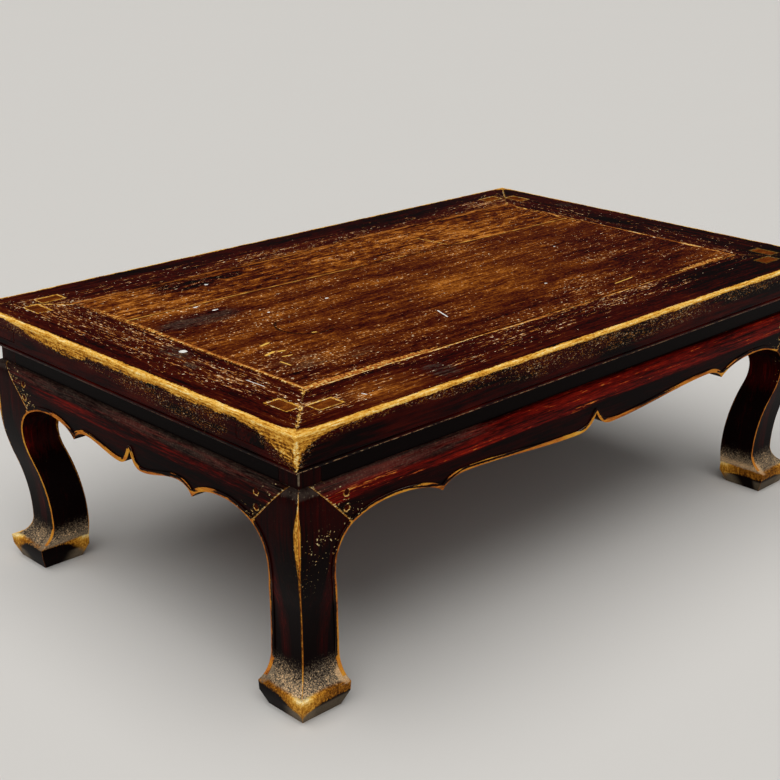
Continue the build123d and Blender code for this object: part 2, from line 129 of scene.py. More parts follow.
class KangTableColours(bpy.types.PropertyGroup):
    """Colours of the lacquer, of what shows where it has worn, of the painted light, sheen and highlights,
    and of the studio.
    """

    black: colour("Black lacquer", "Top coat where it is whole", 9, 2, 2)
    maroon: colour("Maroon lacquer", "Coat under the black", 40, 2, 1)
    wine: colour("Wine lacquer", "Coat under the maroon", 62, 9, 2)
    # Crimson and red also carry the painted light in the band over the apron shoulders.
    crimson: colour("Crimson lacquer", "Rubbed lacquer of the aprons", 104, 12, 4)
    red: colour("Red lacquer", "Red streaks on the aprons", 158, 34, 8)
    orange: colour("Orange streaks", "Brightest streaks of the aprons", 214, 112, 40)
    rust: colour("Worn arris", "Thin wear of the arrises", 186, 104, 40)
    apricot: colour("Worn seam", "Wear along the seams of the panel", 204, 130, 58)
    umber: colour("Umber ground", "Where the lacquer is thin", 80, 30, 5)
    russet: colour("Russet wood", "Darker wood of the panel", 104, 48, 10)
    amber: colour("Amber wood", "Panel wood that shows through", 150, 84, 22)
    honey: colour("Honey wood", "Lighter grain of the panel", 192, 120, 48)
    bronze: colour("Dark pits", "Pits in the bare wood of the edges", 74, 38, 8)
    ochre: colour("Shaded edge", "Darker bare wood of the edges", 150, 92, 24)
    gold: colour("Worn edge", "Bare wood along the worn edges", 212, 148, 48)
    # Straw and cream also carry the painted highlights on the crests of the worn edges and on the foot rims,
    # and chip and stone the painted highlight of the toes.
    straw: colour("Bright edge", "Most worn wood of the edges", 242, 192, 90)
    cream: colour("Pale crests", "Palest wood of the edges", 254, 230, 166)
    chip: colour("Chips", "Fine chips in the lacquer", 232, 190, 140)
    flake: colour("Pale chips", "Palest of the chips", 252, 228, 190)
    # Soot, ash and stone also carry the painted grey sheen on the apron and leg shoulders and, with chip and
    # flake, on the feet; ash, stone and chalk carry the painted sheen on the beads.
    soot: colour("Dark grey", "Darkest of the dull bloom", 40, 32, 24)
    ash: colour("Rubbed grey", "Dull bloom on the lacquer", 66, 56, 50)
    stone: colour("Dusty grey", "Stippled grey of the feet", 134, 118, 96)
    chalk: colour("White marks", "Small white marks on the top", 240, 238, 232)
    pine: colour("Bare timber", "Wood of the battens", 142, 104, 66)
    floor: colour("Floor", "Studio floor", 214, 211, 206)
    shade: colour("Floor mottle", "Faint darker mottle of the floor", 200, 198, 194)


class KangTableWear(bpy.types.PropertyGroup):
    """How far the edges of the table have worn."""

    arris: length("Arris width", "Width that wear takes off the sharp edges", 0.0006)
    outline: length("Outline width", "Width that wear takes off the outlines of aprons and legs", 0.0003)
    ridge: length("Ridge width", "Widest wear of the ridge of a leg", 0.0030)
    slice: length("Slice", "Spacing of the cuts that let a rail's arris waver", 0.004)
    waver: length("Waver", "Depth of the dents in a rail's arris", 0.0012)
    top_edge: length("Top edge", "Width of the worn strip on top of a rail", 0.0042)


class KangTableStudio(bpy.types.PropertyGroup):
    """The plain studio round the table."""

    floor_size: length("Floor size", "Side of the square floor", 600.0)
    overhead: share("Overhead light", "Strength of the soft light from above", 2.5, 10.0)
    fill: share("Fill light", "Strength of the soft light from the front", 0.8, 10.0)
    surround: share("Surround", "Strength of the light from all round", 0.06)


# Shader maths


class Field:
    """A value that changes over a surface. Sums and products of fields add the nodes that they need."""

    def __init__(self, finish, socket):
        self.finish = finish
        self.socket = socket

    def __add__(self, other):
        return self.finish.math("ADD", self, other)

    def __radd__(self, other):
        return self.finish.math("ADD", other, self)

    def __sub__(self, other):
        return self.finish.math("SUBTRACT", self, other)

    def __rsub__(self, other):
        return self.finish.math("SUBTRACT", other, self)

    def __mul__(self, other):
        return self.finish.math("MULTIPLY", self, other)

    def __rmul__(self, other):
        return self.finish.math("MULTIPLY", other, self)

    def __truediv__(self, other):
        return self.finish.math("DIVIDE", self, other)

    def __rtruediv__(self, other):
        return self.finish.math("DIVIDE", other, self)

    def __abs__(self):
        return self.finish.math("ABSOLUTE", self)

    def least(self, other):
        return self.finish.math("MINIMUM", self, other)

    def most(self, other):
        return self.finish.math("MAXIMUM", self, other)

    def to(self, start, end):
        """A smooth step that is 0 at start and 1 at end, whichever is larger."""
        return self.finish.node(
            "ShaderNodeMapRange",
            {"interpolation_type": "SMOOTHSTEP"},
            {"Value": self, "From Min": start, "From Max": end},
        )

    def swing(self, amount):
        """Noise turned into a change to either side of nothing."""
        return (self - 0.5) * amount

    def broken(self, grain, start, end, soft=0.2):
        """A mark broken up by a grain, with nothing where there is no mark."""
        return (self + grain).to(start, end) * self.to(0.0, soft)


class Finish:
    """One material, and the fields that its coats and wear are worked out from."""

    def __init__(self, name):
        self.material = bpy.data.materials.new(name)
        self.material.use_nodes = True
        self.tree = self.material.node_tree
        self.tree.nodes.clear()
        self.colours = bpy.context.scene.kang_table_colours
        self.place = self.node("ShaderNodeTexCoord", output="Object")
        self.x, self.y, self.z = (
            self.node("ShaderNodeSeparateXYZ", inputs={"Vector": self.place}, output=axis) for axis in "XYZ"
        )
        self.from_end = half_length - abs(self.x)
        self.from_side = half_width - abs(self.y)
        self.from_edge = self.from_end.least(self.from_side)
        self.from_corner = self.from_end.most(self.from_side)
        self.from_diagonal = self.from_corner - self.from_edge
        self.drop = table_height - self.z

    def node(self, kind, settings=None, inputs=None, output=0):
        """Adds a node, sets it, feeds its sockets and gives one of its outputs as a field."""
        made = self.tree.nodes.new(kind)
        for name, value in (settings or {}).items():
            if name == "stops":
                ramp = made.color_ramp.elements
                while len(ramp) > 1:
                    ramp.remove(ramp[-1])
                ramp[0].position, ramp[0].color = value[0]
                for position, level in value[1:]:
                    ramp.new(position).color = level
            else:
                setattr(made, name, value)
        for name, value in (inputs or {}).items():
            if isinstance(value, Field):
                self.tree.links.new(value.socket, made.inputs[name])
            else:
                made.inputs[name].default_value = value
        return Field(self, made.outputs[output])

    def math(self, operation, *values):
        return self.node("ShaderNodeMath", {"operation": operation}, dict(enumerate(values)))

    def attribute(self, name):
        """What the making of a piece marked on it under this name."""
        return self.node("ShaderNodeAttribute", {"attribute_name": name}, output="Fac")

    def distance(self, across, along):
        """Length of the step from a point, from its two parts."""
        return self.math("SQRT", across * across + along * along)

    def on_end(self, blur=0.001):
        """Whether a place belongs to an end of the table, and not to a long side."""
        return (self.from_side - self.from_end).to(-blur, blur)

    def mix(self, mask, below, above):
        """One colour over another, as far as the mask lets it show."""
        settings = {"data_type": "RGBA", "clamp_factor": True}
        return self.node("ShaderNodeMix", settings, {0: mask, 6: below, 7: above}, output=2)

    def cloud(self, sizes, detail=2.0, roughness=0.5, shift=0.0, warp=0.0):
        """Cloudy noise from 0 to 1, with features of these sizes along X, Y and Z."""
        stretch = [1 / size for size in sizes]
        point = self.node(
            "ShaderNodeVectorMath",
            {"operation": "MULTIPLY_ADD"},
            {0: self.place, 1: stretch, 2: (shift, shift * 1.7, shift * 2.3)},
        )
        look = {"Scale": 1.0, "Detail": detail, "Roughness": roughness, "Distortion": warp}
        return self.node("ShaderNodeTexNoise", inputs={"Vector": point, **look})

    def curve(self, position, stops, span):
        """A value that runs smoothly through the stops, each a place on the span and a level from 0 to 1."""
        points = [(place / span, (level, level, level, 1.0)) for place, level in stops]
        return self.node("ShaderNodeValToRGB", {"stops": points}, {"Fac": position / span})

    def ramp(self, level, stops):
        """Colours along a level, each stop a place from 0 to 1 and the name of a colour."""
        points = [(place, tuple(getattr(self.colours, name))) for place, name in stops]
        return self.node("ShaderNodeValToRGB", {"stops": points}, {"Fac": level})

    def gilt(self, level, bright, pale):
        """Colours of bare wood along the edges, from dark pits up to the bright and the pale level."""
        stops = ((0.08, "bronze"), (0.30, "ochre"), (0.52, "gold"), (bright, "straw"), (pale, "cream"))
        return self.ramp(level, stops)

    def spot(self, x, y, across, tall):
        """A soft oval mark, seen from above."""
        away_x = (self.x - x) / across
        away_y = (self.y - y) / tall
        return (away_x * away_x + away_y * away_y).to(1.0, 0.1)

    def patches(self, table):
        """A level lifted in soft ovals, each a place, half its length along X and Y, and a lift."""
        level = 0.0
        for x, y, across, tall, lift in table:
            level = self.spot(x, y, across, tall) * lift + level
        return level

    def stroke(self, start, end, width):
        """A soft straight mark on the top between two points."""
        run = Vector(end) - Vector(start)
        lie = run.normalized()
        middle = (Vector(start) + Vector(end)) / 2
        away_x, away_y = self.x - middle.x, self.y - middle.y
        on = abs(away_x * lie.x + away_y * lie.y).to(run.length / 2, run.length / 2 - width)
        beside = abs(away_y * lie.x - away_x * lie.y).to(width / 2, width / 4)
        return on * beside * self.drop.to(0.002, 0.001)

    def marks(self, strokes, spots=()):
        """All of these strokes and spots together."""
        found = [self.stroke(*stroke) for stroke in strokes] + [self.spot(*spot) for spot in spots]
        return reduce(Field.most, found)

    def coat(self, colour, roughness, height, relief, shine=0.022):
        """Puts the shader together from a colour, a roughness and the heights of the surface."""
        bump = self.node("ShaderNodeBump", inputs={"Strength": 1.0, "Distance": relief, "Height": height})
        sockets = {"Base Color": colour, "Roughness": roughness, "Normal": bump, "Specular IOR Level": shine}
        shader = self.node("ShaderNodeBsdfPrincipled", inputs=sockets)
        output = self.tree.nodes.new("ShaderNodeOutputMaterial")
        self.tree.links.new(shader.socket, output.inputs["Surface"])
        return self.material


def lying(axis, lengthwise, crosswise):
    """Sizes of a noise that is stretched along one axis."""
    sizes = [crosswise] * 3
    sizes[axis] = lengthwise
    return sizes


# Colours of the top as its lacquer thins, from the whole coat to the wood
coats = ("black", "maroon", "wine", "umber", "russet", "amber", "honey")

# Wear of the outer edge of the frame. Each stop is a distance from the front or left corner and a depth
# below the top: of the bare strip, and of the stipple under it.
deepest_wear = 0.040
end_wear = (
    (0.000, 0.036), (0.012, 0.028), (0.026, 0.018), (0.040, 0.0125), (0.058, 0.0085), (0.080, 0.0062),
    (0.150, 0.0078), (0.200, 0.0068), (0.260, 0.0080), (0.312, 0.0078), (0.330, 0.0140),
    (0.375, 0.0128), (0.412, 0.0104), (0.440, 0.0044), (0.480, 0.0030), (0.530, 0.0120),
)
long_wear = (
    (0.000, 0.036), (0.008, 0.0170), (0.018, 0.0110), (0.032, 0.0066), (0.055, 0.0044), (0.150, 0.0034),
    (0.450, 0.0036), (0.800, 0.0034), (0.845, 0.0080), (0.860, 0.0300),
)
end_stipple = (
    (0.000, 0.038), (0.030, 0.030), (0.055, 0.012), (0.085, 0.012), (0.100, 0.030), (0.190, 0.027),
    (0.240, 0.023), (0.310, 0.016), (0.400, 0.016), (0.530, 0.012),
)
long_stipple = (
    (0.000, 0.036), (0.025, 0.013), (0.130, 0.008), (0.240, 0.015), (0.330, 0.024), (0.520, 0.021),
    (0.700, 0.016), (0.860, 0.014),
)


def edge_depth(finish, end_stops, long_stops):
    """A depth below the top that follows one table round the ends and another along the long sides."""
    on_end = finish.on_end()
    at_end = [(place, depth / deepest_wear) for place, depth in end_stops]
    at_side = [(place, depth / deepest_wear) for place, depth in long_stops]
    end = finish.curve(finish.y + half_width, at_end, 2 * half_width)
    side = finish.curve(finish.x + half_length, at_side, 2 * half_length)
    return (on_end * end + (1 - on_end) * side) * deepest_wear


def worn_edge(finish, axis):
    """Bare wood along the outer edge of the frame, and the stipple under it, each from 0 to 1."""
    depth = edge_depth(finish, end_wear, long_wear)
    reach = edge_depth(finish, end_stipple, long_stipple)
    flow = finish.cloud(lying(axis, 0.022, 0.0045), 4.0, 0.65, 3.0)
    nibble = finish.cloud((0.0028, 0.0028, 0.0016), 3.0, 0.65, 11.0)
    dots = finish.cloud(lying(axis, 0.0026, 0.0011), 2.0, 0.6, 19.0)
    top_edge = bpy.context.scene.kang_table_wear.top_edge
    wide = finish.from_corner.to(0.026, 0.008) * 0.0075 + top_edge
    strip = (finish.from_edge / wide).most(finish.drop / depth)
    wandering = strip + flow.swing(1.3) + nibble.swing(0.9)
    body = wandering.to(1.10, 0.92)
    away = finish.drop / reach
    crowd = finish.cloud(lying(axis, 0.040, 0.010), 2.0, 0.5, 23.0)
    stipple = (dots - away * 0.06 + crowd.swing(0.35)).to(0.530, 0.575) * away.to(1.2, 0.8)
    return body, stipple * finish.from_edge.to(0.003, 0.0015)


def gilding(finish, axis):
    """Bare wood of the worn edges: golden, with pale crests along the top arris that are partly painted
    highlight, and dark pits along the grain.
    """
    grain = finish.cloud(lying(axis, 0.030, 0.0016), 4.0, 0.62, 31.0)
    pits = finish.cloud(lying(axis, 0.0042, 0.0021), 3.0, 0.6, 33.0)
    # The crest is partly a painted highlight: just under the top, by the outer edge, the bare wood is lifted
    # towards straw and cream, as the most worn wood and as light on the rounded arris.
    crest = (finish.drop - 0.001).to(0.005, 0.0) * finish.from_edge.to(0.006, 0.002)
    arris = finish.from_corner.to(0.0042, 0.0012) * finish.drop.to(0.003, 0.008)
    low = finish.drop.to(0.004, 0.018)
    level = 0.48 + crest * 0.20 - low * 0.12 + arris * 0.42 + grain.swing(1.6)
    level = level + pits.swing(1.0 + low * 1.4)
    return finish.gilt(level, 0.74, 1.0), level


# Wear along the joint of frame and panel, by the axis it runs along and the side of the middle it is on. Each
# stop is a place along it, how far inside the joint it lies, its half-width, and how pale it is.
seam_runs = {
    (0, -1): (
        (-0.349, -0.0010, 0.0022, 0.95),
        (-0.190, -0.0024, 0.0019, 0.85),
        (-0.080, -0.0036, 0.0016, 0.50),
        (0.000, -0.0048, 0.0030, 0.15),
        (0.060, -0.0036, 0.0022, 0.25),
        (0.150, -0.0022, 0.0013, 0.40),
        (0.250, -0.0012, 0.0020, 0.35),
        (0.349, -0.0006, 0.0026, 0.40),
    ),
    (0, 1): (
        (-0.349, -0.0060, 0.0012, 0.00),
        (-0.100, -0.0050, 0.0006, 0.00),
        (0.250, -0.0040, 0.0012, 0.20),
    ),
    (1, -1): (
        (-0.184, 0.0022, 0.0030, 0.45),
        (-0.110, 0.0026, 0.0028, 0.50),
        (-0.060, 0.0010, 0.0042, 0.30),
        (0.000, 0.0022, 0.0042, 0.40),
        (0.060, 0.0026, 0.0044, 0.30),
        (0.184, 0.0030, 0.0038, 0.20),
    ),
    (1, 1): (
        (-0.184, 0.0000, 0.0012, 0.20),
        (-0.135, -0.0020, 0.0016, 0.35),
        (-0.118, -0.0020, 0.0022, 0.80),
        (-0.100, -0.0022, 0.0014, 0.25),
        (-0.055, -0.0024, 0.0016, 0.30),
        (-0.030, -0.0024, 0.0022, 0.75),
        (-0.010, -0.0026, 0.0014, 0.20),
        (0.184, -0.0040, 0.0022, 0.00),
    ),
}
# Bare patches beside the joint: X, Y, half-lengths along X and Y, and strength
seam_patches = (
    (-0.262, -0.1818, 0.105, 0.0062, 1.30),
    (-0.310, -0.1822, 0.050, 0.0070, 1.20),
    (0.285, -0.1806, 0.068, 0.0058, 1.00),
    (0.020, -0.1890, 0.080, 0.0035, 0.40),
    (-0.3460, 0.090, 0.0050, 0.110, 0.55),
    (-0.3485, -0.058, 0.0045, 0.030, 0.60),
    (0.3490, 0.110, 0.0060, 0.090, 0.40),
)
seam_reach = 0.010  # furthest that the wear lies from the joint


def seam_wear(finish, ragged, along, fine):
    """Wear on both sides of the joint between the frame and the panel: how bare, and how pale."""
    inset = finish.from_edge - rail_width
    on_end = finish.on_end()
    band = core = 0.0
    for (axis, side), stops in seam_runs.items():
        place, apart, reach = (finish.y, finish.x, half_width) if axis else (finish.x, finish.y, half_length)
        here = (apart * side).to(0.0, 0.01) * (on_end if axis else 1 - on_end)
        places, offsets, spreads, tones = zip(*stops)
        columns = (
            [offset / seam_reach / 2 + 0.5 for offset in offsets],
            [spread / seam_reach for spread in spreads],
            tones,
        )
        shift, width, pale = (
            finish.curve(place + reach, zip([stop + reach for stop in places], levels), 2 * reach)
            for levels in columns
        )
        middle = (shift * 2 - 1) * seam_reach
        off = abs(inset - middle + ragged.swing(0.007) + along.swing(0.006))
        line = off.to(width * (seam_reach * 1.15), width * (seam_reach * 0.5))
        whole = (pale * 0.35 + along * 0.6 + fine * 0.6).to(0.54, 0.76)
        band = (line * whole * here).most(band)
        heart = off.to(width * (seam_reach * 0.8), 0.0) * (pale + along + fine * 0.6).to(0.9, 1.5)
        core = (heart * here).most(core)
    patch = finish.patches(seam_patches)
    patch = patch.broken(ragged.swing(2.4) + along.swing(3.0) + fine.swing(2.0), 0.30, 0.70, 0.3)
    return band.most(patch * 0.95), core.most(patch * 0.30)


def seam_colours(finish, colour, band, core, inset, ragged):
    """Lays the worn seam over a colour, with the dark line of the joint itself."""
    paints = finish.colours
    level = core * 0.7 + ragged.swing(2.2) + 0.34
    stops = (
        (0.06, "umber"),
        (0.20, "russet"),
        (0.40, "rust"),
        (0.62, "apricot"),
        (0.88, "straw"),
        (1.0, "cream"),
    )
    colour = finish.mix(band * 0.9, colour, finish.ramp(level, stops))
    return finish.mix(abs(inset).to(0.0009, 0.0003) * (0.65 - band * 0.45), colour, paints.maroon)


# Tone of the top of the frame, and how crowded its chips are: X, Y, half-lengths along X and Y, and lift
frame_tones = (
    (-0.286, -0.226, 0.070, 0.036, 0.36),
    (-0.385, -0.226, 0.040, 0.030, 0.10),
    (-0.382, 0.150, 0.030, 0.160, 0.10),
    (-0.388, 0.020, 0.028, 0.110, 0.05),
    (-0.010, 0.222, 0.170, 0.020, 0.14),
    (-0.330, 0.232, 0.090, 0.024, 0.10),
    (0.220, 0.230, 0.080, 0.020, 0.04),
    (0.000, -0.225, 0.300, 0.050, -0.06),
    (0.350, -0.225, 0.240, 0.060, -0.26),
    (0.395, 0.000, 0.050, 0.300, -0.20),
    (0.080, 0.246, 0.500, 0.046, -0.26),
)
frame_crowds = (
    (-0.386, 0.140, 0.050, 0.180, 0.046),
    (-0.386, -0.060, 0.050, 0.140, 0.030),
    (-0.360, -0.228, 0.060, 0.040, 0.022),
    (0.000, -0.202, 0.250, 0.022, 0.018),
    (-0.010, 0.216, 0.190, 0.020, 0.004),
    (-0.330, 0.228, 0.100, 0.022, 0.012),
    (0.200, -0.245, 0.400, 0.030, -0.050),
    (0.330, -0.225, 0.160, 0.060, -0.030),
    (0.050, 0.245, 0.450, 0.030, -0.050),
    (0.395, 0.020, 0.050, 0.280, -0.020),
)


# Where the mitres have worn wide: X, Y, half-lengths along X and Y, and how much
mitre_wear = (
    (-0.404, -0.240, 0.022, 0.022, 0.95),
    (-0.384, -0.219, 0.009, 0.009, 0.95),
    (-0.352, -0.187, 0.016, 0.016, 0.85),
    (-0.368, 0.206, 0.030, 0.030, 0.85),
    (0.405, 0.240, 0.045, 0.045, 0.45),
    (0.352, 0.190, 0.014, 0.014, 0.50),
)

# Dull grey patches on the frame
frame_blooms = (
    (-0.370, -0.018, 0.020, 0.034, 0.70),
    (-0.381, -0.060, 0.016, 0.016, 0.55),
    (-0.218, -0.232, 0.022, 0.030, 0.70),
    (-0.320, 0.240, 0.070, 0.016, 0.30),
    (0.408, 0.130, 0.016, 0.016, 0.70),
    (-0.350, -0.220, 0.036, 0.022, 0.30),
)

# Fine white scratches on the frame, each a start, an end and a width, and a white spot
frame_scratches = (
    ((-0.3712, -0.1265), (-0.3702, -0.1535), 0.0014),
    ((-0.4160, -0.1640), (-0.4135, -0.1660), 0.0030),
    ((-0.3180, -0.2260), (-0.3160, -0.2350), 0.0022),
    ((0.3775, 0.0760), (0.3800, 0.0730), 0.0030),
)
frame_spots = ((-0.3635, -0.0207, 0.0060, 0.0060),)

low_line = 0.0354  # depth of the fine worn line near the lower edge of the rails


def frame_finish(axis):
    """Lacquer of a rail whose grain runs along this axis, worn through along its edges."""
    finish = Finish("frame_lacquer_long" if axis == 0 else "frame_lacquer_end")
    paints = finish.colours
    on_top = finish.drop.to(0.0045, 0.0025)
    broad = finish.cloud(lying(axis, 0.120, 0.030), 3.0, 0.6, 5.0)
    streak = finish.cloud(lying(axis, 0.060, 0.0034), 4.0, 0.62, 1.0)
    fine = finish.cloud(lying(axis, 0.0060, 0.0016), 2.0, 0.6, 7.0)
    bits = finish.cloud(lying(axis, 0.0075, 0.0020), 3.0, 0.6, 13.0)
    top_level = 0.36 + finish.patches(frame_tones) + broad.swing(0.8) + streak.swing(1.3) + fine.swing(0.8)
    side_level = 0.16 + broad.swing(1.1) + streak.swing(0.8)
    level = side_level + (top_level - side_level) * on_top
    colour = finish.ramp(level, zip((0.04, 0.20, 0.40, 0.58, 0.74, 0.90, 1.0), coats))
    colour, chips = frame_chips(finish, axis, colour, on_top, broad, streak, fine, bits)
    colour, band = frame_joints(finish, axis, colour, on_top, broad, streak, fine, bits)
    bloom = finish.patches(frame_blooms).broken(streak.swing(3.0) + bits.swing(2.0), 0.45, 0.95, 0.4)
    colour = finish.mix(bloom * 0.75 * on_top, colour, finish.mix(fine.to(0.4, 0.6), paints.soot, paints.ash))
    colour, bare, relief = outer_edge(finish, axis, colour, streak, fine)
    marks = finish.marks(frame_scratches, frame_spots).broken(bits.swing(2.4), 0.55, 0.75)
    colour = finish.mix(marks * on_top, colour, paints.chalk)
    gone = bare.most(chips)
    roughness = 0.34 + gone * 0.24 + band * 0.15
    height = (1 - gone) * 0.6 + fine * 0.3 + streak * 0.2 + relief * 0.3
    return finish.coat(colour, roughness, height, 0.00025)


def frame_chips(finish, axis, colour, on_top, broad, streak, fine, bits):
    """Lays fine chips and pale flecks over a colour. Gives the chips too."""
    scratchy = finish.cloud(lying(axis, 0.026, 0.0017), 3.0, 0.6, 17.0)
    sparse = finish.cloud(lying(axis, 0.0044, 0.0026), 1.0, 0.5, 41.0)
    whole = finish.from_edge.to(0.026, 0.014)
    crowd = finish.patches(frame_crowds) + broad.swing(0.20) + streak.swing(0.25) - whole * 0.06
    chips = (bits * 0.5 + scratchy * 0.5 + crowd).to(0.582, 0.612) * on_top
    chip_colours = finish.ramp(fine, ((0.36, "russet"), (0.50, "honey"), (0.62, "chip"), (0.76, "flake")))
    colour = finish.mix(chips * 0.95, colour, chip_colours)
    flecks = (sparse + fine.swing(0.35) + crowd).to(0.765, 0.795) * on_top
    return finish.mix(flecks, colour, finish.colours.flake), chips


def frame_joints(finish, axis, colour, on_top, broad, streak, fine, bits):
    """Lays wear along the joints of the top over a colour. Gives how bare it is beside the panel too."""
    inset = finish.from_edge - rail_width
    if axis == 0:
        creep = (inset + bits.swing(0.014) + broad.swing(0.020)).to(-0.0095, -0.0055)
        creep = creep * finish.y.to(0.0, 0.1) * (streak * 0.6 + bits * 0.4).to(0.44, 0.54)
        bared = finish.ramp(streak, ((0.36, "umber"), (0.50, "amber"), (0.66, "honey")))
        colour = finish.mix(creep * on_top * 0.85, colour, bared)
    band, core = seam_wear(finish, bits, streak, fine)
    colour = seam_colours(finish, colour, band * on_top, core, inset, bits)
    pale = finish.ramp(fine, ((0.32, "ochre"), (0.44, "gold"), (0.56, "straw"), (0.68, "flake")))
    colour = finish.mix(mitre_lines(finish, streak, bits, fine) * on_top, colour, pale)
    return finish.mix(tenon_outlines(finish, bits, fine) * on_top, colour, pale), band


def outer_edge(finish, axis, colour, streak, fine):
    """Lays the worn outer edge over a colour. Gives how bare the edge is too, and the relief of its wood."""
    body, stipple = worn_edge(finish, axis)
    stipple_colours = finish.ramp(fine, ((0.36, "bronze"), (0.50, "ochre"), (0.60, "stone"), (0.72, "chip")))
    colour = finish.mix(stipple * 0.85, colour, stipple_colours)
    gilt, relief = gilding(finish, axis)
    colour = finish.mix(body, colour, gilt)
    line = abs(finish.drop - low_line).to(0.0007, 0.0002) * (streak + fine.swing(1.2)).to(0.42, 0.60)
    faint = finish.x.to(0.15, -0.10) * 0.22 + 0.26 if axis == 0 else 0.12
    line_colours = finish.mix(fine.to(0.45, 0.60), finish.colours.rust, finish.colours.chip)
    return finish.mix(line * faint, colour, line_colours), body.most(stipple * 0.7), relief * body


def mitre_lines(finish, streak, ragged, fine):
    """Worn lines along the mitres of the frame, wide and frayed in places."""
    away = abs(finish.from_end - finish.from_side + ragged.swing(0.006))
    frayed = finish.patches(mitre_wear)
    spread = 0.0010 + frayed * 0.0012 + fine.swing(frayed) * 0.014
    return away.to(spread, spread * 0.5) * ((0.15 + frayed) * streak.to(0.36, 0.48)).least(1.0)


def tenon_outlines(finish, ragged, fine):
    """Worn lines round the through tenons in the top of the frame, clearest at the left end."""
    lines = []
    for low, high, cross_low, cross_high in tenon_spans:
        in_x = abs(finish.from_end - (low + high) / 2) - (high - low) / 2
        in_y = abs(finish.from_side - (cross_low + cross_high) / 2) - (cross_high - cross_low) / 2
        away = abs(in_x.most(in_y) - 0.0006)
        lines.append((away + ragged.swing(0.007) + fine.swing(0.003)).to(0.0019, 0.0008))
    faded = finish.x.to(-0.1, 0.1) * (0.75 - finish.y.to(-0.1, 0.1) * 0.35)
    return reduce(Field.most, lines) * (0.95 - faded)


# Tone of the panel, how crowded its chips are, and its dull grey patches: X, Y, half-lengths along X and Y,
# and lift
panel_tones = (
    (0.034, -0.038, 0.110, 0.045, 0.16),
    (0.020, -0.108, 0.100, 0.035, 0.07),
    (0.206, 0.108, 0.070, 0.040, 0.16),
    (-0.050, 0.110, 0.070, 0.024, 0.12),
    (0.120, 0.160, 0.180, 0.035, 0.06),
    (-0.290, 0.150, 0.060, 0.050, 0.10),
    (-0.219, 0.168, 0.060, 0.026, -0.46),
    (-0.155, 0.167, 0.026, 0.013, -0.34),
    (-0.285, 0.046, 0.085, 0.036, -0.16),
    (-0.250, -0.100, 0.070, 0.050, 0.10),
    (-0.325, -0.150, 0.040, 0.040, -0.10),
    (-0.105, -0.105, 0.055, 0.040, -0.13),
    (0.290, -0.060, 0.130, 0.110, -0.20),
    (0.180, -0.150, 0.200, 0.045, -0.12),
    (-0.080, -0.165, 0.220, 0.025, -0.10),
    (0.060, 0.040, 0.200, 0.045, -0.03),
)
panel_crowds = (
    (-0.300, -0.125, 0.085, 0.080, 0.050),
    (-0.215, -0.130, 0.100, 0.060, 0.016),
    (-0.080, -0.160, 0.260, 0.035, 0.022),
    (0.170, -0.145, 0.220, 0.050, 0.006),
    (-0.270, 0.030, 0.090, 0.070, 0.016),
)
panel_blooms = (
    (-0.285, 0.052, 0.075, 0.026, 0.65),
    (-0.300, -0.120, 0.045, 0.040, 0.45),
    (-0.235, -0.140, 0.040, 0.020, 0.40),
)

# Pale gouges in the panel and a white scratch, each a start, an end and a width, and white flecks, each a
# place and half-lengths
panel_gouges = (
    ((-0.3000, -0.0610), (-0.2820, -0.0565), 0.0042),
    ((-0.3160, -0.0870), (-0.2960, -0.0810), 0.0046),
    ((-0.2980, -0.0840), (-0.2860, -0.0880), 0.0040),
    ((-0.3140, -0.1080), (-0.3135, -0.1260), 0.0026),
    ((-0.3040, -0.0990), (-0.2900, -0.1020), 0.0022),
    ((-0.2240, -0.0640), (-0.2330, -0.0610), 0.0034),
    ((0.1400, -0.1630), (0.1780, -0.1600), 0.0022),
    ((0.1240, 0.1400), (0.1300, 0.0900), 0.0012),
)
panel_flecks = (
    (-0.1380, 0.0190, 0.0040, 0.0024),
    (-0.2630, 0.0900, 0.0050, 0.0024),
    (-0.2540, 0.0680, 0.0058, 0.0022),
    (-0.2180, 0.0220, 0.0030, 0.0022),
    (-0.2010, 0.1520, 0.0040, 0.0026),
    (0.0840, -0.1080, 0.0028, 0.0020),
    (0.2200, -0.0080, 0.0024, 0.0020),
)
panel_scratches = (((-0.0816, -0.0953), (-0.0913, -0.1208), 0.0026),)

# A dark ring, as a cup leaves
ring_middle = (-0.219, -0.037)
ring_radius = 0.031


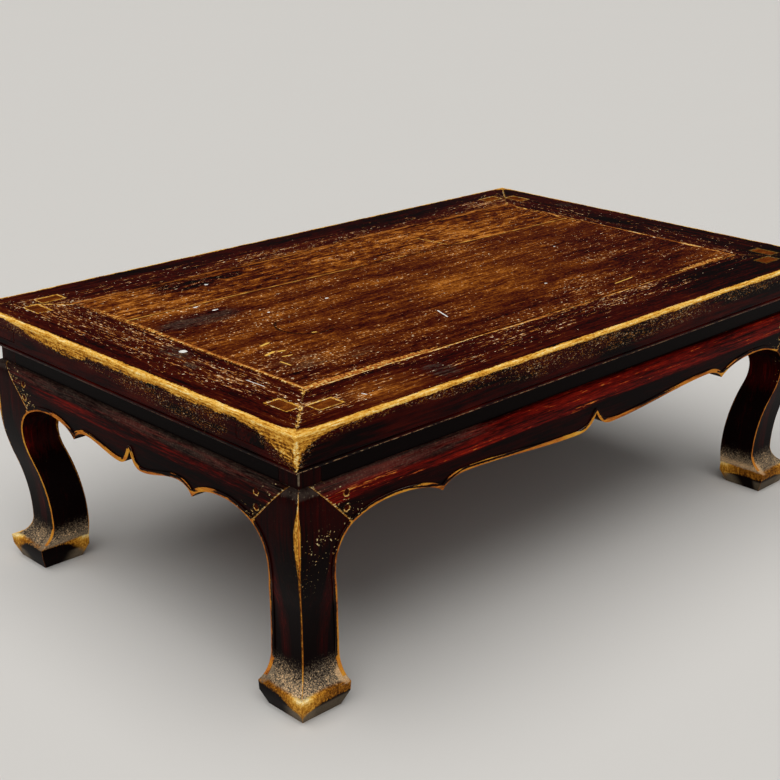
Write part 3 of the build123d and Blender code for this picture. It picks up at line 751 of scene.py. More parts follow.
def panel_finish():
    """Boards with their lacquer rubbed through to amber wood, in streaks along the grain."""
    finish = Finish("panel_wood")
    paints = finish.colours
    broad = finish.cloud((0.150, 0.036, 0.05), 3.0, 0.55, 9.0)
    smear = finish.cloud((0.055, 0.0060, 0.010), 5.0, 0.68, 2.0, 0.5)
    blotch = finish.cloud((0.017, 0.0062, 0.010), 4.0, 0.62, 14.0, 0.4)
    fibre = finish.cloud((0.014, 0.0017, 0.002), 3.0, 0.65, 4.0)
    dots = finish.cloud((0.0030, 0.0024, 0.002), 2.0, 0.55, 21.0)
    joint = finish.y - (board_joint - finish.x * joint_slant)
    at_back = joint.to(-0.001, 0.001)
    inset = finish.from_edge - rail_width
    level = 0.47 + finish.patches(panel_tones) + at_back * 0.02 + broad.swing(0.9)
    level = level + smear.swing(1.2 + at_back * 0.4) + blotch.swing(0.5 + at_back * 1.3)
    level = level + fibre.swing(0.9) + dots.swing(0.8)
    colour = finish.ramp(level, zip((0.00, 0.16, 0.28, 0.42, 0.58, 0.78, 1.0), coats))
    crowd = finish.patches(panel_crowds) + broad.swing(0.3) + smear.swing(0.15)
    chips = (fibre * 0.6 + dots * 0.4 + crowd).to(0.622, 0.652)
    chip_colours = finish.ramp(dots, ((0.48, "amber"), (0.58, "honey"), (0.68, "chip"), (0.80, "flake")))
    colour = finish.mix(chips * 0.9, colour, chip_colours)
    sparse = finish.cloud((0.0044, 0.0030, 0.003), 1.0, 0.5, 41.0)
    flecks = (sparse + dots.swing(0.30) + crowd).to(0.785, 0.815)
    colour = finish.mix(flecks, colour, paints.flake)
    bloom = finish.patches(panel_blooms).broken(smear.swing(3.0) + fibre.swing(2.0), 0.35, 0.90, 0.4)
    colour = finish.mix(bloom * 0.75, colour, finish.mix(dots.to(0.4, 0.6), paints.soot, paints.ash))
    colour, groove = board_groove(finish, colour, joint, smear, fibre)
    band, core = seam_wear(finish, dots, smear, fibre)
    colour = seam_colours(finish, colour, band, core, inset, dots)
    colour, ring = panel_marks(finish, colour, fibre, dots)
    bare = level.to(0.35, 0.65)
    roughness = 0.36 + bare * 0.16 + chips * 0.1
    height = level * 0.9 + dots * 0.3 - groove - ring * 0.4
    return finish.coat(colour, roughness, height, 0.0003)


def board_groove(finish, colour, joint, smear, fibre):
    """Lays the groove between the boards over a colour, with its worn lip. Gives the groove too."""
    groove = abs(joint).to(0.0012, 0.0004)
    worn = (finish.x.to(-0.02, -0.20) * 0.10 + smear).to(0.42, 0.56)
    lip = abs(joint - 0.0018 + fibre.swing(0.002)).to(0.0020, 0.0008) * worn
    lip_colours = finish.ramp(fibre, ((0.38, "amber"), (0.5, "honey"), (0.62, "straw")))
    colour = finish.mix(lip * 0.85, colour, lip_colours)
    return finish.mix(groove * 0.85, colour, finish.colours.black), groove


def panel_marks(finish, colour, fibre, dots):
    """Lays gouges, a dark ring and white scratches over the panel. Gives the ring too, for its depth."""
    gouges = finish.marks(panel_gouges).broken(dots.swing(1.4) + fibre.swing(0.8), 0.45, 0.62)
    colour = finish.mix(gouges * 0.9, colour, finish.colours.straw)
    ring_x, ring_y = finish.x - ring_middle[0], finish.y - ring_middle[1]
    ring = abs(finish.distance(ring_x, ring_y) - ring_radius) + dots.swing(0.004)
    ring = ring.to(0.0020, 0.0007) * (ring_y * 0.5 + ring_x).to(0.016, -0.012)
    colour = finish.mix(ring * 0.85, colour, finish.colours.black)
    marks = finish.marks(panel_scratches, panel_flecks).broken(dots.swing(2.0), 0.55, 0.75)
    return finish.mix(marks, colour, finish.colours.chalk), ring


# Wear of the ridge of a leg: height, and width as a share of the widest
ridge_wear = (
    (0.0, 0.35), (0.03, 0.18), (0.06, 0.20), (0.12, 0.26), (0.145, 0.34), (0.150, 0.22), (0.160, 0.46),
    (0.185, 0.95), (0.200, 1.0), (0.213, 0.60), (0.220, 0.30), (0.230, 0.18), (0.238, 0.10),
)

# Bright rubbed streaks on the aprons: middle along the side, half-length, height below the waist, half-height
long_stripes = (
    (-0.275, 0.045, 0.0215, 0.0014),
    (-0.335, 0.050, 0.0130, 0.0020),
    (-0.350, 0.030, 0.0165, 0.0016),
    (-0.010, 0.040, 0.0205, 0.0022),
)


def base_finish(kind, axis):
    """Lacquer of the waist, aprons or legs, with its grain along an axis and its arrises worn to the wood."""
    finish = Finish(f"base_lacquer_{kind}")
    streak = finish.cloud(lying(axis, 0.090, 0.0030), 4.0, 0.62, 2.0)
    broad = finish.cloud(lying(axis, 0.110, 0.022), 3.0, 0.6, 6.0)
    fibre = finish.cloud(lying(axis, 0.014, 0.0011), 3.0, 0.65, 8.0)
    dots = finish.cloud((0.0026, 0.0026, 0.0024), 2.0, 0.6, 15.0)
    below = waist_base - finish.z
    mottle = streak.swing(0.9) + broad.swing(0.6) + fibre.swing(0.4)
    if kind.startswith("apron"):
        colour, gone = apron_colours(finish, axis, below, streak, broad, fibre, dots)
    elif kind == "leg":
        colour, gone = leg_colours(finish, below, mottle, broad, fibre, dots)
    else:
        colour = finish.ramp(0.02 + mottle * 0.5, ((0.10, "black"), (0.5, "maroon")))
        gone = dots.to(0.74, 0.78)
    arris, bead, outline = (finish.attribute(name) for name in ("arris", "bead", "outline"))
    outside = 0.0 if kind.startswith("waist") else below.to(-0.001, 0.0)
    wear_and_sheen = (arris * (1 - bead)).most(outline)
    start = 0.50 if kind.startswith("apron") else 0.52
    bare = (wear_and_sheen + dots.swing(0.5) + broad.swing(0.8) + fibre.swing(0.3)).to(start, start + 0.22) * outside
    bare_stops = ((0.40, "bronze"), (0.48, "rust"), (0.60, "gold"), (0.72, "straw"))
    colour = finish.mix(bare, colour, finish.ramp(fibre * 0.4 + broad * 0.6, bare_stops))
    sheen = (arris * bead + dots.swing(0.4) + broad.swing(1.6)).to(0.45, 0.85) * outside
    sheen_colours = finish.ramp(broad, ((0.50, "ash"), (0.62, "stone"), (0.75, "chalk")))
    colour = finish.mix(sheen * 0.6, colour, sheen_colours)
    gone = gone.most(bare)
    roughness = 0.33 + gone * 0.25
    height = (1 - gone) * 0.6 + fibre * 0.2 + streak * 0.3
    return finish.coat(colour, roughness, height, 0.0002)


def apron_colours(finish, axis, below, streak, broad, fibre, dots):
    """Red band over the apron's shoulder, partly painted light where the shoulder curves up under the waist,
    with bright streaks, a painted grey sheen along the upper edge, and a black lower part.
    """
    paints = finish.colours
    # Painted light: the band lifts the lacquer towards crimson and red where the shoulder curves up under the
    # waist, as if lit from above, more on the long aprons than on the ends.
    band = below.to(0.0250, 0.0215) * below.to(-0.003, 0.003)
    lift = band * (finish.x.to(-0.35, 0.1) * -0.06 + 0.38 if axis == 0 else 0.17)
    level = 0.10 + lift + streak.swing(0.5 + band * 0.6) + broad.swing(0.5) + fibre.swing(0.3 + band * 0.5)
    stops = ((0.06, "black"), (0.28, "maroon"), (0.54, "crimson"), (0.80, "red"), (1.0, "orange"))
    colour = finish.ramp(level, stops)
    gone = dots.to(0.70, 0.74) * (broad + band * 0.08).to(0.46, 0.60)
    # Painted sheen: grey is painted along the upper edge of the apron, where its shoulder faces up, as the
    # reflection of the light above. It is even on the end aprons and stronger towards the left on the long
    # aprons.
    sheen_and_floor_mottle = 0.15
    if axis == 0:
        colour = bright_streaks(finish, colour, below, band, streak, fibre)
        sheen_and_floor_mottle = finish.x.to(-0.10, -0.26) * 0.22 + finish.x.to(0.1, -0.1) * 0.05 - 0.08
    wear_and_sheen = (below + broad.swing(0.014)).to(0.0135, 0.0060)
    wear_and_sheen = wear_and_sheen * (sheen_and_floor_mottle + broad * 0.5 + fibre * 0.5).to(0.52, 0.74)
    colour = finish.mix(wear_and_sheen * 0.60, colour, finish.mix(dots.to(0.45, 0.95), paints.ash, paints.stone))
    colour, flakes = apron_joint(finish, colour, below, broad, fibre, dots)
    return colour, gone.most(flakes)


def bright_streaks(finish, colour, below, band, streak, fibre):
    """Lays the bright worn streaks of the long aprons over a colour, only within the painted light band of
    the shoulder.
    """
    stripe = 0.0
    for middle, reach, height, half in long_stripes:
        along = abs(finish.x - middle).to(reach, reach * 0.5)
        stripe = (along * abs(below - height).to(half, half * 0.3)).most(stripe)
    hot = streak * 0.4 + fibre * 0.6 + stripe * finish.y.to(0.0, -0.1) * 0.11
    streak_colours = finish.ramp(hot, ((0.59, "red"), (0.66, "orange"), (0.76, "straw")))
    return finish.mix(hot.to(0.600, 0.650) * band * 0.9, colour, streak_colours)


peg_ring = 0.0034  # radius of the worn line round a peg


def apron_joint(finish, colour, below, broad, fibre, dots):
    """Worn lines along the mitre and round the pegs, and the chips near them, which it gives too."""
    away = abs(finish.from_corner - mitre_inset - below) * math.sqrt(0.5)
    frayed = (broad * 0.5 + fibre * 0.5 + dots.swing(0.5)).to(0.36, 0.58)
    wide = 0.0005 + frayed * 0.0016
    mitre = (away + dots.swing(0.005)).to(wide, wide * 0.4) * (0.30 + frayed * 0.70)
    near = away.to(0.028, 0.004) * below.to(-0.002, 0.004)
    flakes = (dots * 0.5 + fibre * 0.3 + broad * 0.2 + near * 0.045).to(0.625, 0.650) * near.to(0.05, 0.4)
    chip_colours = finish.ramp(fibre, ((0.36, "ochre"), (0.5, "gold"), (0.64, "cream")))
    colour = finish.mix(mitre.most(flakes) * 0.95, colour, chip_colours)
    for drop in peg_drops:
        peg_x, peg_z = finish.from_corner - peg_reach, below - drop
        ring = abs(finish.distance(peg_x, peg_z) - peg_ring) + dots.swing(0.0050)
        ring = ring.to(0.0010, 0.0003) * (fibre + peg_z * 60).to(0.40, 0.62)
        colour = finish.mix(ring * 0.9, colour, chip_colours)
    return colour, flakes


def leg_colours(finish, below, mottle, broad, fibre, dots):
    """Black lacquer over maroon, a painted grey sheen on the shoulder, a bare ridge, and a foot with dust and
    painted sheen and a worn rim.
    """
    paints = finish.colours
    upper = finish.z.to(0.150, 0.200)
    edge_streak = abs(finish.from_corner - 0.056).to(0.010, 0.003)
    edge_streak = edge_streak * finish.z.to(0.19, 0.15) * finish.z.to(0.045, 0.06)
    level = 0.05 + upper * 0.15 + edge_streak * 0.20 + mottle * 0.60
    colour = finish.ramp(level, ((0.08, "black"), (0.30, "maroon"), (0.52, "crimson"), (0.80, "red")))
    specked = finish.z.to(0.125, 0.150) * finish.z.to(0.200, 0.185) * finish.from_side.to(0.024, 0.018)
    specks = (dots + broad.swing(0.30) + specked * 0.04).to(0.69, 0.72) * specked
    colour = finish.mix(specks, colour, finish.mix(fibre.to(0.4, 0.6), paints.ochre, paints.cream))
    # Painted sheen: grey is painted on the shoulder just under the waist, where its top faces up to the
    # light.
    shoulder = below.to(0.0145, 0.0040) * below.to(-0.0015, 0.0)
    sheen_and_floor_mottle = (shoulder * 0.55 + broad.swing(0.5) + dots.swing(0.5)).to(0.25, 0.65)
    colour = finish.mix(sheen_and_floor_mottle * 0.8, colour, finish.ramp(dots, ((0.62, "ash"), (0.74, "stone"))))
    colour, rim = foot_colours(finish, colour, broad, fibre, dots)
    colour, ridge = ridge_colours(finish, colour, below, broad, fibre, dots)
    return colour, specks.most(ridge).most(rim)


rim_height = 0.0274  # of the hoof's raised rim
toe = (0.0720, 0.0310)  # pale place over the rim: from an end or side of the top, and height
toe_reach = (0.0065, 0.0070)  # its half-lengths


def foot_colours(finish, colour, broad, fibre, dots):
    """Dust and painted sheen on the foot's flare, its bare rim, which it gives too, a painted highlight along
    the rim's top at the corner, and the pale toe over the rim, partly a painted highlight.
    """
    paints = finish.colours
    across, on_end = finish.from_diagonal, finish.on_end(0.0004)
    speck = finish.cloud((0.0012, 0.0012, 0.0012), 1.0, 0.5, 27.0)
    # Dust and painted sheen: the flare above the rim, which faces up, is painted dusty grey, partly as the
    # reflection of the light above.
    foot = (finish.z + broad.swing(0.014)).to(0.060, 0.028) * finish.z.to(0.0250, 0.0268)
    dust_and_sheen = (foot + dots.swing(0.5) + speck.swing(0.5)).to(0.10, 1.0)
    grains = speck * 0.6 + dots * 0.25 + broad.swing(0.3) + foot * 0.10
    dust_and_sheen_colours = ((0.36, "soot"), (0.44, "ash"), (0.54, "stone"), (0.66, "chip"), (0.76, "flake"))
    colour = finish.mix(dust_and_sheen * 0.9, colour, finish.ramp(grains, dust_and_sheen_colours))
    wander = broad.swing(0.008) + fibre.swing(0.005) + dots.swing(0.003)
    near = across.to(0.040, 0.006)
    rim_top = (finish.z + wander * 0.4).to(rim_height + 0.001, rim_height - 0.001)
    rim_base = 0.0180 + on_end * 0.0056 - near * (0.0040 + on_end * 0.0060) + finish.y.to(0.0, 0.1) * 0.0030
    rim = rim_top * (finish.z + wander).to(rim_base - 0.0012, rim_base + 0.0012)
    lobe = (across + abs(finish.z - 0.020) * 1.4 + wander * 2.0).to(0.026, 0.014)
    lobe = lobe * finish.z.to(0.0262, 0.0250)
    rim = rim.most(lobe * 0.9) * finish.from_corner.to(0.081, 0.077)
    # Painted highlight: the worn rim is paler along its top edge near the corner.
    rim_highlight = across.to(0.020, 0.006) * finish.z.to(0.020, 0.027)
    rim_level = 0.22 + near * 0.24 + rim_highlight * 0.42 + fibre.swing(0.8) + dots.swing(0.9)
    sole = (finish.from_side.to(0.030, 0.024) * 0.6).most(across.to(0.030, 0.010))
    sole = sole * finish.z.to(0.0165, 0.0120)
    colour = finish.mix(sole * (0.35 + dots * 0.6), colour, paints.stone)
    colour = finish.mix(rim, colour, finish.gilt(rim_level, 0.72, 0.95))
    # The toe is partly a painted highlight and partly pale worn wood: a pale spot over the rim near the tip
    # of each face of the foot, cream on the end faces and grey on the long ones.
    toe_x, toe_z = (finish.from_corner - toe[0]) / toe_reach[0], (finish.z - toe[1]) / toe_reach[1]
    pale = (toe_x * toe_x + toe_z * toe_z + dots.swing(1.2)).to(1.0, 0.4)
    return finish.mix(pale * 0.55, colour, finish.mix(on_end, paints.chip, paints.stone)), rim


def ridge_colours(finish, colour, below, broad, fibre, dots):
    """The bare ridge of a leg, which it gives too, and the pale arris over it in the waist."""
    across, on_end = finish.from_diagonal, finish.on_end(0.0004)
    swelling = finish.curve(finish.z, ridge_wear, waist_base) * scene_wear().ridge * (0.7 + on_end * 1.5)
    wobble = fibre.swing(0.0030) + broad.swing(0.0050) + dots.swing(0.0020)
    on_leg = finish.z.to(0.0255, 0.0275) * below.to(0.0, 0.004)
    ridge = (across + wobble).to(swelling * 1.10, swelling * 0.80) * on_leg
    tips = finish.z.to(0.215, 0.228) * 0.6 + finish.z.to(0.060, 0.035) * 0.4
    level = 0.20 + finish.z.to(0.150, 0.190) * 0.30 + tips + fibre.swing(1.6) + dots.swing(1.0)
    colour = finish.mix(ridge, colour, finish.gilt(level, 0.72, 0.92))
    post = across.to(0.0016, 0.0008) * below.to(-0.003, -0.005) * (dots + 0.35).least(1.0)
    return finish.mix(post, colour, finish.colours.stone), ridge


def tenon_finish():
    """End grain of the tenons that come through the top."""
    finish = Finish("tenon_ends")
    pore = finish.cloud((0.0008, 0.0008, 0.01), 2.0, 0.6, 3.0)
    stain = finish.cloud((0.012, 0.006, 0.01), 3.0, 0.6, 5.0)
    stops = ((0.36, "black"), (0.46, "umber"), (0.60, "russet"), (0.72, "amber"))
    colour = finish.ramp(pore * 0.5 + stain * 0.6, stops)
    return finish.coat(colour, 0.5 + pore * 0.2, pore + stain * 0.5, 0.0003)


def batten_finish():
    """Unfinished, darkened timber of the battens."""
    finish = Finish("bare_wood")
    paints = finish.colours
    grain = finish.cloud((0.004, 0.12, 0.004), 5.0, 0.65, 3.0)
    pore = finish.cloud((0.0008, 0.012, 0.0008), 2.0, 0.6, 6.0)
    stain = finish.cloud((0.05, 0.09, 0.05), 3.0, 0.6, 9.0)
    colour = finish.mix((grain * 0.7 + pore * 0.3).to(0.35, 0.65), paints.umber, paints.pine)
    colour = finish.mix(stain.to(0.5, 0.75) * 0.6, colour, paints.black)
    return finish.coat(colour, 0.62 + pore * 0.15, grain + pore * 0.6, 0.0003)


def peg_finish():
    """End grain of the pegs, dark; the worn line round each peg is drawn on the aprons."""
    finish = Finish("peg_wood")
    paints = finish.colours
    pore = finish.cloud((0.0007, 0.0007, 0.0007), 2.0, 0.6, 3.0)
    stain = finish.cloud((0.004, 0.004, 0.003), 2.0, 0.6, 7.0)
    colour = finish.mix((pore * 0.4 + stain * 0.6).to(0.40, 0.75) * 0.8, paints.maroon, paints.umber)
    return finish.coat(colour, 0.5 + pore * 0.15, pore, 0.0002)


# Making of the pieces

weld = 2e-6  # distance under which points of a CAD node are one
flat_angle = math.radians(0.3)  # angle under which its triangles make up one face
sharp_angle = math.radians(35)  # angle past which an edge wears
smooth_angle = math.radians(38)  # angle up to which shading runs on over an edge


def select_only(piece):
    """Leaves one object selected and active."""
    bpy.ops.object.select_all(action="DESELECT")
    piece.select_set(True)
    bpy.context.view_layer.objects.active = piece


def merged_copy(node):
    """A copy of a CAD node with its loose triangles merged into whole faces."""
    piece = bpy.data.objects.new(f"worn_{node}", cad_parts[node].data.copy())
    bpy.context.scene.collection.objects.link(piece)
    piece.data.materials.clear()
    select_only(piece)
    bpy.ops.object.mode_set(mode="EDIT")
    bpy.ops.mesh.select_all(action="SELECT")
    bpy.ops.mesh.remove_doubles(threshold=weld)
    bpy.ops.mesh.dissolve_limited(angle_limit=flat_angle)
    bpy.ops.object.mode_set(mode="OBJECT")
    if piece.data.has_custom_normals:
        bpy.ops.mesh.customdata_custom_splitnormals_clear()
    return piece


def apply_modifier(piece, kind, **settings):
    """Adds a modifier to a piece, sets it and applies it."""
    modifier = piece.modifiers.new(kind.lower(), kind)
    for name, value in settings.items():
        setattr(modifier, name, value)
    select_only(piece)
    bpy.ops.object.modifier_apply(modifier=modifier.name)


narrowest_step = 0.002  # width of a face under which it may be the step of a bead
hollow = math.radians(-20)  # angle past which two faces meet in a hollow


def is_narrow(edge):
    """Whether an edge borders a narrow face, as the step of a bead is."""
    return min(face.calc_area() for face in edge.link_faces) < narrowest_step * edge.calc_length()


def rises(face):
    """Whether a face, or one that goes on from it, starts from a hollow."""
    level = [face]
    for edge in face.edges:
        if edge.is_manifold and abs(edge.calc_face_angle()) < abs(hollow):
            level.extend(edge.link_faces)
    edges = [edge for part in level for edge in part.edges]
    return any(edge.is_manifold and edge.calc_face_angle_signed() < hollow for edge in edges)


def is_step(edge):
    """Whether an edge borders the narrow step of a bead, which rises from a hollow."""
    limit = narrowest_step * edge.calc_length()
    return any(face.calc_area() < limit and rises(face) for face in edge.link_faces)


def wear_arrises(piece, width, share_at=None, outward=None):
    """Rounds the sharp outer edges, and marks the points of the rounding and those of a bead's step."""
    mesh = bmesh.new()
    mesh.from_mesh(piece.data)
    weights = mesh.edges.layers.float.new("bevel_weight_edge")
    beads = mesh.verts.layers.float.new("bead")
    for edge in mesh.edges:
        if edge.is_manifold and edge.is_convex and edge.calc_face_angle() > sharp_angle:
            middle = (edge.verts[0].co + edge.verts[1].co) / 2
            edge[weights] = share_at(middle, edge) if share_at else 1.0
            if is_step(edge):
                for point in edge.verts:
                    point[beads] = 1.0
    mesh.to_mesh(piece.data)
    mesh.free()
    apply_modifier(
        piece, "BEVEL", width=width, segments=2, limit_method="WEIGHT", use_clamp_overlap=False, material=1
    )
    if outward:
        mark_outline(piece, outward)
    depths = [1.0] * len(piece.data.vertices)
    for face in piece.data.polygons:
        if face.material_index != 1:
            for point in face.vertices:
                depths[point] = 0.0
        face.material_index = 0
    piece.data.attributes.new("arris", "FLOAT", "POINT").data.foreach_set("value", depths)


bead_width = 0.0042  # of the bead that follows the outline of aprons and legs
bead_face = bead_width * 1.4  # distance from the outline within which a whole face belongs to the bead
outline_low, outline_high = 0.030, 0.218  # heights between which the outline runs
outline_step = 0.001  # spacing of the points along it
peg_rim = 0.0045  # distance from the middle of a peg within which a point is on the rim of its hole
ridge_rim = 0.004  # distance from the diagonal of a corner within which a point is on the ridge of a leg


def mark_outline(piece, outward):
    """Marks the fronts of the beads, from 1 along the outline to 0 at the width of a bead from it."""
    mesh = piece.data
    beads = mesh.attributes["bead"].data
    line = []
    for face in mesh.polygons:
        if face.material_index == 1 and not any(beads[point].value > 0.5 for point in face.vertices):
            for one, two in face.edge_keys:
                start, end = mesh.vertices[one].co, mesh.vertices[two].co
                count = max(1, round((end - start).length / outline_step))
                line.extend(start.lerp(end, step / count) for step in range(count + 1))
    line = [point for point in line if outline_low < point.z < outline_high]
    line = [point for point in line if not near_ridge(point) and not near_peg(point)]
    tree = KDTree(len(line))
    for index, point in enumerate(line):
        tree.insert(point, index)
    tree.balance()
    away = [tree.find(point.co)[2] for point in mesh.vertices]
    levels = [0.0] * len(mesh.loops)
    for face in mesh.polygons:
        rounded = face.material_index == 1
        if outward(face.normal) and (rounded or max(away[point] for point in face.vertices) < bead_face):
            for loop, point in zip(face.loop_indices, face.vertices):
                levels[loop] = max(0.0, 1 - away[point] / bead_width)
    mesh.attributes.new("outline", "FLOAT", "CORNER").data.foreach_set("value", levels)


def near_peg(point):
    """Whether a point lies on the rim of a peg hole."""
    beside = max(half_length - abs(point.x), half_width - abs(point.y)) - peg_reach
    return any(math.hypot(beside, waist_base - point.z - drop) < peg_rim for drop in peg_drops)


def near_ridge(point):
    """Whether a point lies on the ridge of a leg."""
    return abs((half_length - abs(point.x)) - (half_width - abs(point.y))) < ridge_rim


def slice_along(piece, axis, places):
    """Cuts the faces of a piece across at these places on an axis."""
    normal = [0.0, 0.0, 0.0]
    normal[axis] = 1.0
    select_only(piece)
    bpy.ops.object.mode_set(mode="EDIT")
    for place in places:
        point = [0.0, 0.0, 0.0]
        point[axis] = place
        bpy.ops.mesh.select_all(action="SELECT")
        bpy.ops.mesh.bisect(plane_co=point, plane_no=normal)
    bpy.ops.object.mode_set(mode="OBJECT")


dent_size = 0.010  # of the dents in the outer arris
dent_middle = 0.6  # level of the noise at which the arris stays where it is


def waver(piece, grip, depth):
    """Dents a piece along its normals, by as much as grip gives at each point."""
    group = piece.vertex_groups.new(name="worn")
    for point in piece.data.vertices:
        hold = grip(point.co)
        if hold > 0:
            group.add([point.index], hold, "REPLACE")
    texture = bpy.data.textures.new(f"{piece.name}_dents", "CLOUDS")
    texture.noise_scale = dent_size
    texture.noise_depth = 2
    apply_modifier(
        piece,
        "DISPLACE",
        texture=texture,
        texture_coords="LOCAL",
        vertex_group=group.name,
        strength=depth,
        mid_level=dent_middle,
    )


def dress(piece, node, finish, body="root"):
    """Gives a piece its finish and its smooth shading, and sets it in the frame in the place of its node."""
    piece.data.materials.clear()
    for material in finish:
        piece.data.materials.append(material)
    select_only(piece)
    bpy.ops.object.shade_smooth_by_angle(angle=smooth_angle)
    apply_modifier(piece, "WEIGHTED_NORMAL", keep_sharp=True)
    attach(piece, body)
    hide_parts(node)


def steps(low, high, spacing):
    """Even places between two limits."""
    count = max(1, round((high - low) / spacing))
    return [low + (high - low) * index / count for index in range(1, count)]


outer_reach = 0.010  # distance from the outer arris within which the frame is dented
corner_reach, corner_boost = 0.05, 0.6  # distance from a corner within which dents deepen, and by how much


def outer_grip(point):
    """How much a point of the frame belongs to the worn outer arris."""
    inside = min(half_length - abs(point.x), half_width - abs(point.y))
    away = math.hypot(max(inside, 0.0), table_height - point.z)
    near_corner = max(half_length - abs(point.x), half_width - abs(point.y))
    boost = corner_boost * max(0.0, 1 - near_corner / corner_reach)
    return max(0.0, 1 - away / outer_reach) * (1.0 + boost) / (1.0 + corner_boost)


def scene_wear():
    """The wear that the user has set."""
    return bpy.context.scene.kang_table_wear


def worn_copy(node, finish, width, share_at=None, outward=None):
    """A merged copy of a CAD node, with its arrises worn to a width."""
    piece = merged_copy(node)
    for _ in range(2):  # the second slot tells the rounding from the rest
        piece.data.materials.append(finish)
    wear_arrises(piece, width, share_at, outward)
    return piece


hair = 0.001  # difference of height that counts as none
step_share = 0.8  # share of the outline's wear that the step of a bead takes
ridge_foot = 0.03  # height of the lower end of a leg's ridge
ridge_side = 0.045  # furthest that the ridge lies from a side of the top


def bead_share(point, edge):
    """Share of the outline's wear that an edge takes."""
    return step_share if is_narrow(edge) else 1.0


def ridge_share(point, edge):
    """Share of the ridge's full wear that an edge of a leg takes."""
    in_x, in_y = half_length - abs(point.x), half_width - abs(point.y)
    on_ridge = abs(in_x - in_y) < hair / 2 and in_x < ridge_side
    if point.z > waist_base + hair:
        return scene_wear().arris / scene_wear().ridge
    if not on_ridge or point.z < ridge_foot:
        return bead_share(point, edge) * scene_wear().outline / scene_wear().ridge
    for (low, first), (high, second) in zip(ridge_wear, ridge_wear[1:]):
        if low <= point.z <= high:
            return first + (second - first) * (point.z - low) / (high - low)
    return ridge_wear[-1][1]


outward_part = 0.3  # how much of a face's normal points outwards where it counts as a front


def faces_out(place, axes):
    """A test of whether a face is one of the fronts of a side or corner, from its normal."""
    return lambda normal: any(normal[axis] * facing(place, axis) > outward_part for axis in axes)


arris_cuts = (0.006, 0.012)  # distances from the outer arris at which a rail is cut, so that it can be dented


class KANGTABLE_OT_rails(bpy.types.Operator):
    """Dress the four mitred rails of the top, with dents along their outer arris"""

    bl_idname = "kangtable.rails"
    bl_label = "Rails"

    def execute(self, context):
        wear = scene_wear()
        finishes = [frame_finish(axis) for axis in (0, 1)]
        for side in sides:
            axis = along_side(side)
            across = 1 - axis
            piece = worn_copy(f"{side}_rail", finishes[axis], wear.arris)
            slice_along(piece, axis, steps(-halves[axis], halves[axis], wear.slice))
            slice_along(piece, across, [facing(side, across) * (halves[across] - cut) for cut in arris_cuts])
            slice_along(piece, 2, [table_height - cut for cut in arris_cuts])
            waver(piece, outer_grip, -wear.waver * (1.0 + corner_boost))
            dress(piece, f"{side}_rail", [finishes[axis]])
        return {"FINISHED"}


class KANGTABLE_OT_boards(bpy.types.Operator):
    """Dress the two boards of the panel"""

    bl_idname = "kangtable.boards"
    bl_label = "Panel boards"

    def execute(self, context):
        finish = panel_finish()
        for node in ("front_panel_board", "back_panel_board"):
            piece = worn_copy(node, finish, scene_wear().arris)
            dress(piece, node, [finish])
        return {"FINISHED"}


class KANGTABLE_OT_battens(bpy.types.Operator):
    """Give the battens under the panel their bare wood"""

    bl_idname = "kangtable.battens"
    bl_label = "Battens"

    def execute(self, context):
        finish = batten_finish()
        for node in batten_names:
            piece = worn_copy(node, finish, scene_wear().arris)
            dress(piece, node, [finish])
        return {"FINISHED"}


class KANGTABLE_OT_waists(bpy.types.Operator):
    """Dress the recessed waist between the frame and the aprons"""

    bl_idname = "kangtable.waists"
    bl_label = "Waist strips"

    def execute(self, context):
        finishes = [base_finish(f"waist_{name}", axis) for axis, name in enumerate(("long", "end"))]
        for side in sides:
            finish = finishes[along_side(side)]
            piece = worn_copy(f"{side}_waist", finish, scene_wear().arris / 2)
            dress(piece, f"{side}_waist", [finish])
        return {"FINISHED"}


class KANGTABLE_OT_aprons(bpy.types.Operator):
    """Dress the four cusped aprons and their beads"""

    bl_idname = "kangtable.aprons"
    bl_label = "Aprons"

    def execute(self, context):
        finishes = [base_finish(f"apron_{name}", axis) for axis, name in enumerate(("long", "end"))]
        for side in sides:
            finish = finishes[along_side(side)]
            outward = faces_out(side, [1 - along_side(side)])
            piece = worn_copy(f"{side}_apron", finish, scene_wear().outline, bead_share, outward)
            dress(piece, f"{side}_apron", [finish])
        return {"FINISHED"}


class KANGTABLE_OT_legs(bpy.types.Operator):
    """Dress the four legs, with their ridges worn and the ends of their tenons bare"""

    bl_idname = "kangtable.legs"
    bl_label = "Legs"

    def execute(self, context):
        finish, ends = base_finish("leg", 2), tenon_finish()
        for corner in corners:
            node = f"{corner}_leg"
            piece = worn_copy(node, finish, scene_wear().ridge, ridge_share, faces_out(corner, (0, 1)))
            dress(piece, node, [finish, ends])
            for face in piece.data.polygons:
                if face.center.z > table_height - hair:
                    face.material_index = 1
        return {"FINISHED"}


class KANGTABLE_OT_pegs(bpy.types.Operator):
    """Dress the pegs through the ends of the aprons"""

    bl_idname = "kangtable.pegs"
    bl_label = "Pegs"

    def execute(self, context):
        finish = peg_finish()
        piece = worn_copy("apron_pegs", finish, scene_wear().arris / 2)
        dress(piece, "apron_pegs", [finish])
        return {"FINISHED"}


# Where the camera stands: bearing, elevation and roll in degrees, the point it looks at, and its distance
camera_bearing, camera_elevation, camera_roll = -44.5439, 20.0753, 0.3686
camera_target = Vector((-0.2931, -0.2391, 0.300))
camera_distance = 1.3617
camera_lens = 68.74

# Softness of each lamp, its tilt from overhead and the bearing that it is tilted towards, in degrees
overhead_lamp = (75, 14, -70)
fill_lamp = (60, 58, -35)


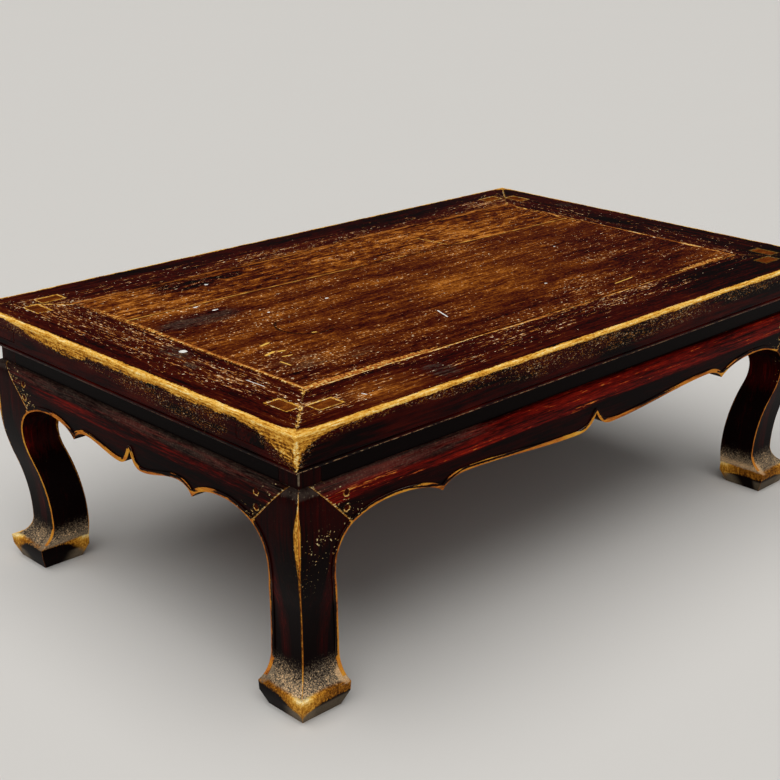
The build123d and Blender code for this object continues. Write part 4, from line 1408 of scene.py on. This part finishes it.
class KANGTABLE_OT_studio(bpy.types.Operator):
    """Set the table on a plain pale floor under soft light, with a camera"""

    bl_idname = "kangtable.studio"
    bl_label = "Studio"

    def execute(self, context):
        scene = context.scene
        studio = scene.kang_table_studio
        bpy.ops.object.select_all(action="DESELECT")
        bpy.ops.mesh.primitive_plane_add(size=studio.floor_size)
        floor = context.object
        floor.name = "studio_floor"
        finish = Finish("studio_floor")
        mottle = finish.cloud((0.6, 0.6, 0.6), 3.0, 0.5)
        sheen_and_floor_mottle = finish.mix(mottle * 0.08, finish.colours.floor, finish.colours.shade)
        floor.data.materials.append(finish.coat(sheen_and_floor_mottle, 0.85 + mottle * 0.05, mottle, 0.0001, 0.2))
        world = bpy.data.worlds.new("studio_surround")
        world.use_nodes = True
        background = world.node_tree.nodes["Background"]
        background.inputs["Color"].default_value = (1.0, 1.0, 1.0, 1.0)
        background.inputs["Strength"].default_value = studio.surround
        scene.world = world
        self.lamp("overhead", studio.overhead, *overhead_lamp)
        self.lamp("fill", studio.fill, *fill_lamp)
        self.camera(scene)
        scene.view_settings.view_transform = "Standard"
        return {"FINISHED"}

    def lamp(self, name, strength, softness, tilt, bearing):
        """A soft lamp far away."""
        light = bpy.data.lights.new(name, "SUN")
        light.energy = strength
        light.angle = math.radians(softness)
        lamp = bpy.data.objects.new(name, light)
        lamp.rotation_euler = (math.radians(tilt), 0.0, math.radians(bearing))
        bpy.context.scene.collection.objects.link(lamp)

    def camera(self, scene):
        bearing, elevation, roll = map(math.radians, (camera_bearing, camera_elevation, camera_roll))
        back = Vector(
            (
                math.sin(bearing) * math.cos(elevation),
                -math.cos(bearing) * math.cos(elevation),
                math.sin(elevation),
            )
        )
        level = Vector((math.cos(bearing), math.sin(bearing), 0.0))
        upright = back.cross(level)
        right = math.cos(roll) * level + math.sin(roll) * upright
        top = math.cos(roll) * upright - math.sin(roll) * level
        stand = Matrix((right, top, back)).transposed().to_4x4()
        stand.translation = camera_target + back * camera_distance
        data = bpy.data.cameras.new("studio_camera")
        data.lens = camera_lens
        camera = bpy.data.objects.new("studio_camera", data)
        camera.matrix_world = stand
        scene.collection.objects.link(camera)
        scene.camera = camera


operators = (
    KANGTABLE_OT_studio,
    KANGTABLE_OT_rails,
    KANGTABLE_OT_boards,
    KANGTABLE_OT_battens,
    KANGTABLE_OT_waists,
    KANGTABLE_OT_aprons,
    KANGTABLE_OT_legs,
    KANGTABLE_OT_pegs,
)


class KANGTABLE_PT_finish(bpy.types.Panel):
    """Lists the pieces of the table, and the sizes and colours of their finish"""

    bl_idname = "KANGTABLE_PT_finish"
    bl_label = "Kang table"
    bl_space_type = "VIEW_3D"
    bl_region_type = "UI"
    bl_category = "Kang table"

    def draw(self, context):
        for operator in operators:
            self.layout.operator(operator.bl_idname)
        scene = context.scene
        for group in (scene.kang_table_wear, scene.kang_table_colours, scene.kang_table_studio):
            box = self.layout.box()
            for name in type(group).__annotations__:
                box.prop(group, name)


groups = {
    "kang_table_colours": KangTableColours,
    "kang_table_wear": KangTableWear,
    "kang_table_studio": KangTableStudio,
}


def register():
    for made in (*groups.values(), *operators, KANGTABLE_PT_finish):
        bpy.utils.register_class(made)
    for name, group in groups.items():
        setattr(bpy.types.Scene, name, bpy.props.PointerProperty(type=group))


def unregister():
    for name in groups:
        delattr(bpy.types.Scene, name)
    for made in (KANGTABLE_PT_finish, *reversed(operators), *reversed(groups.values())):
        bpy.utils.unregister_class(made)


def main():
    register()
    for operator in operators:
        group, name = operator.bl_idname.split(".")
        getattr(getattr(bpy.ops, group), name)()


if __name__ == "__main__":
    main()
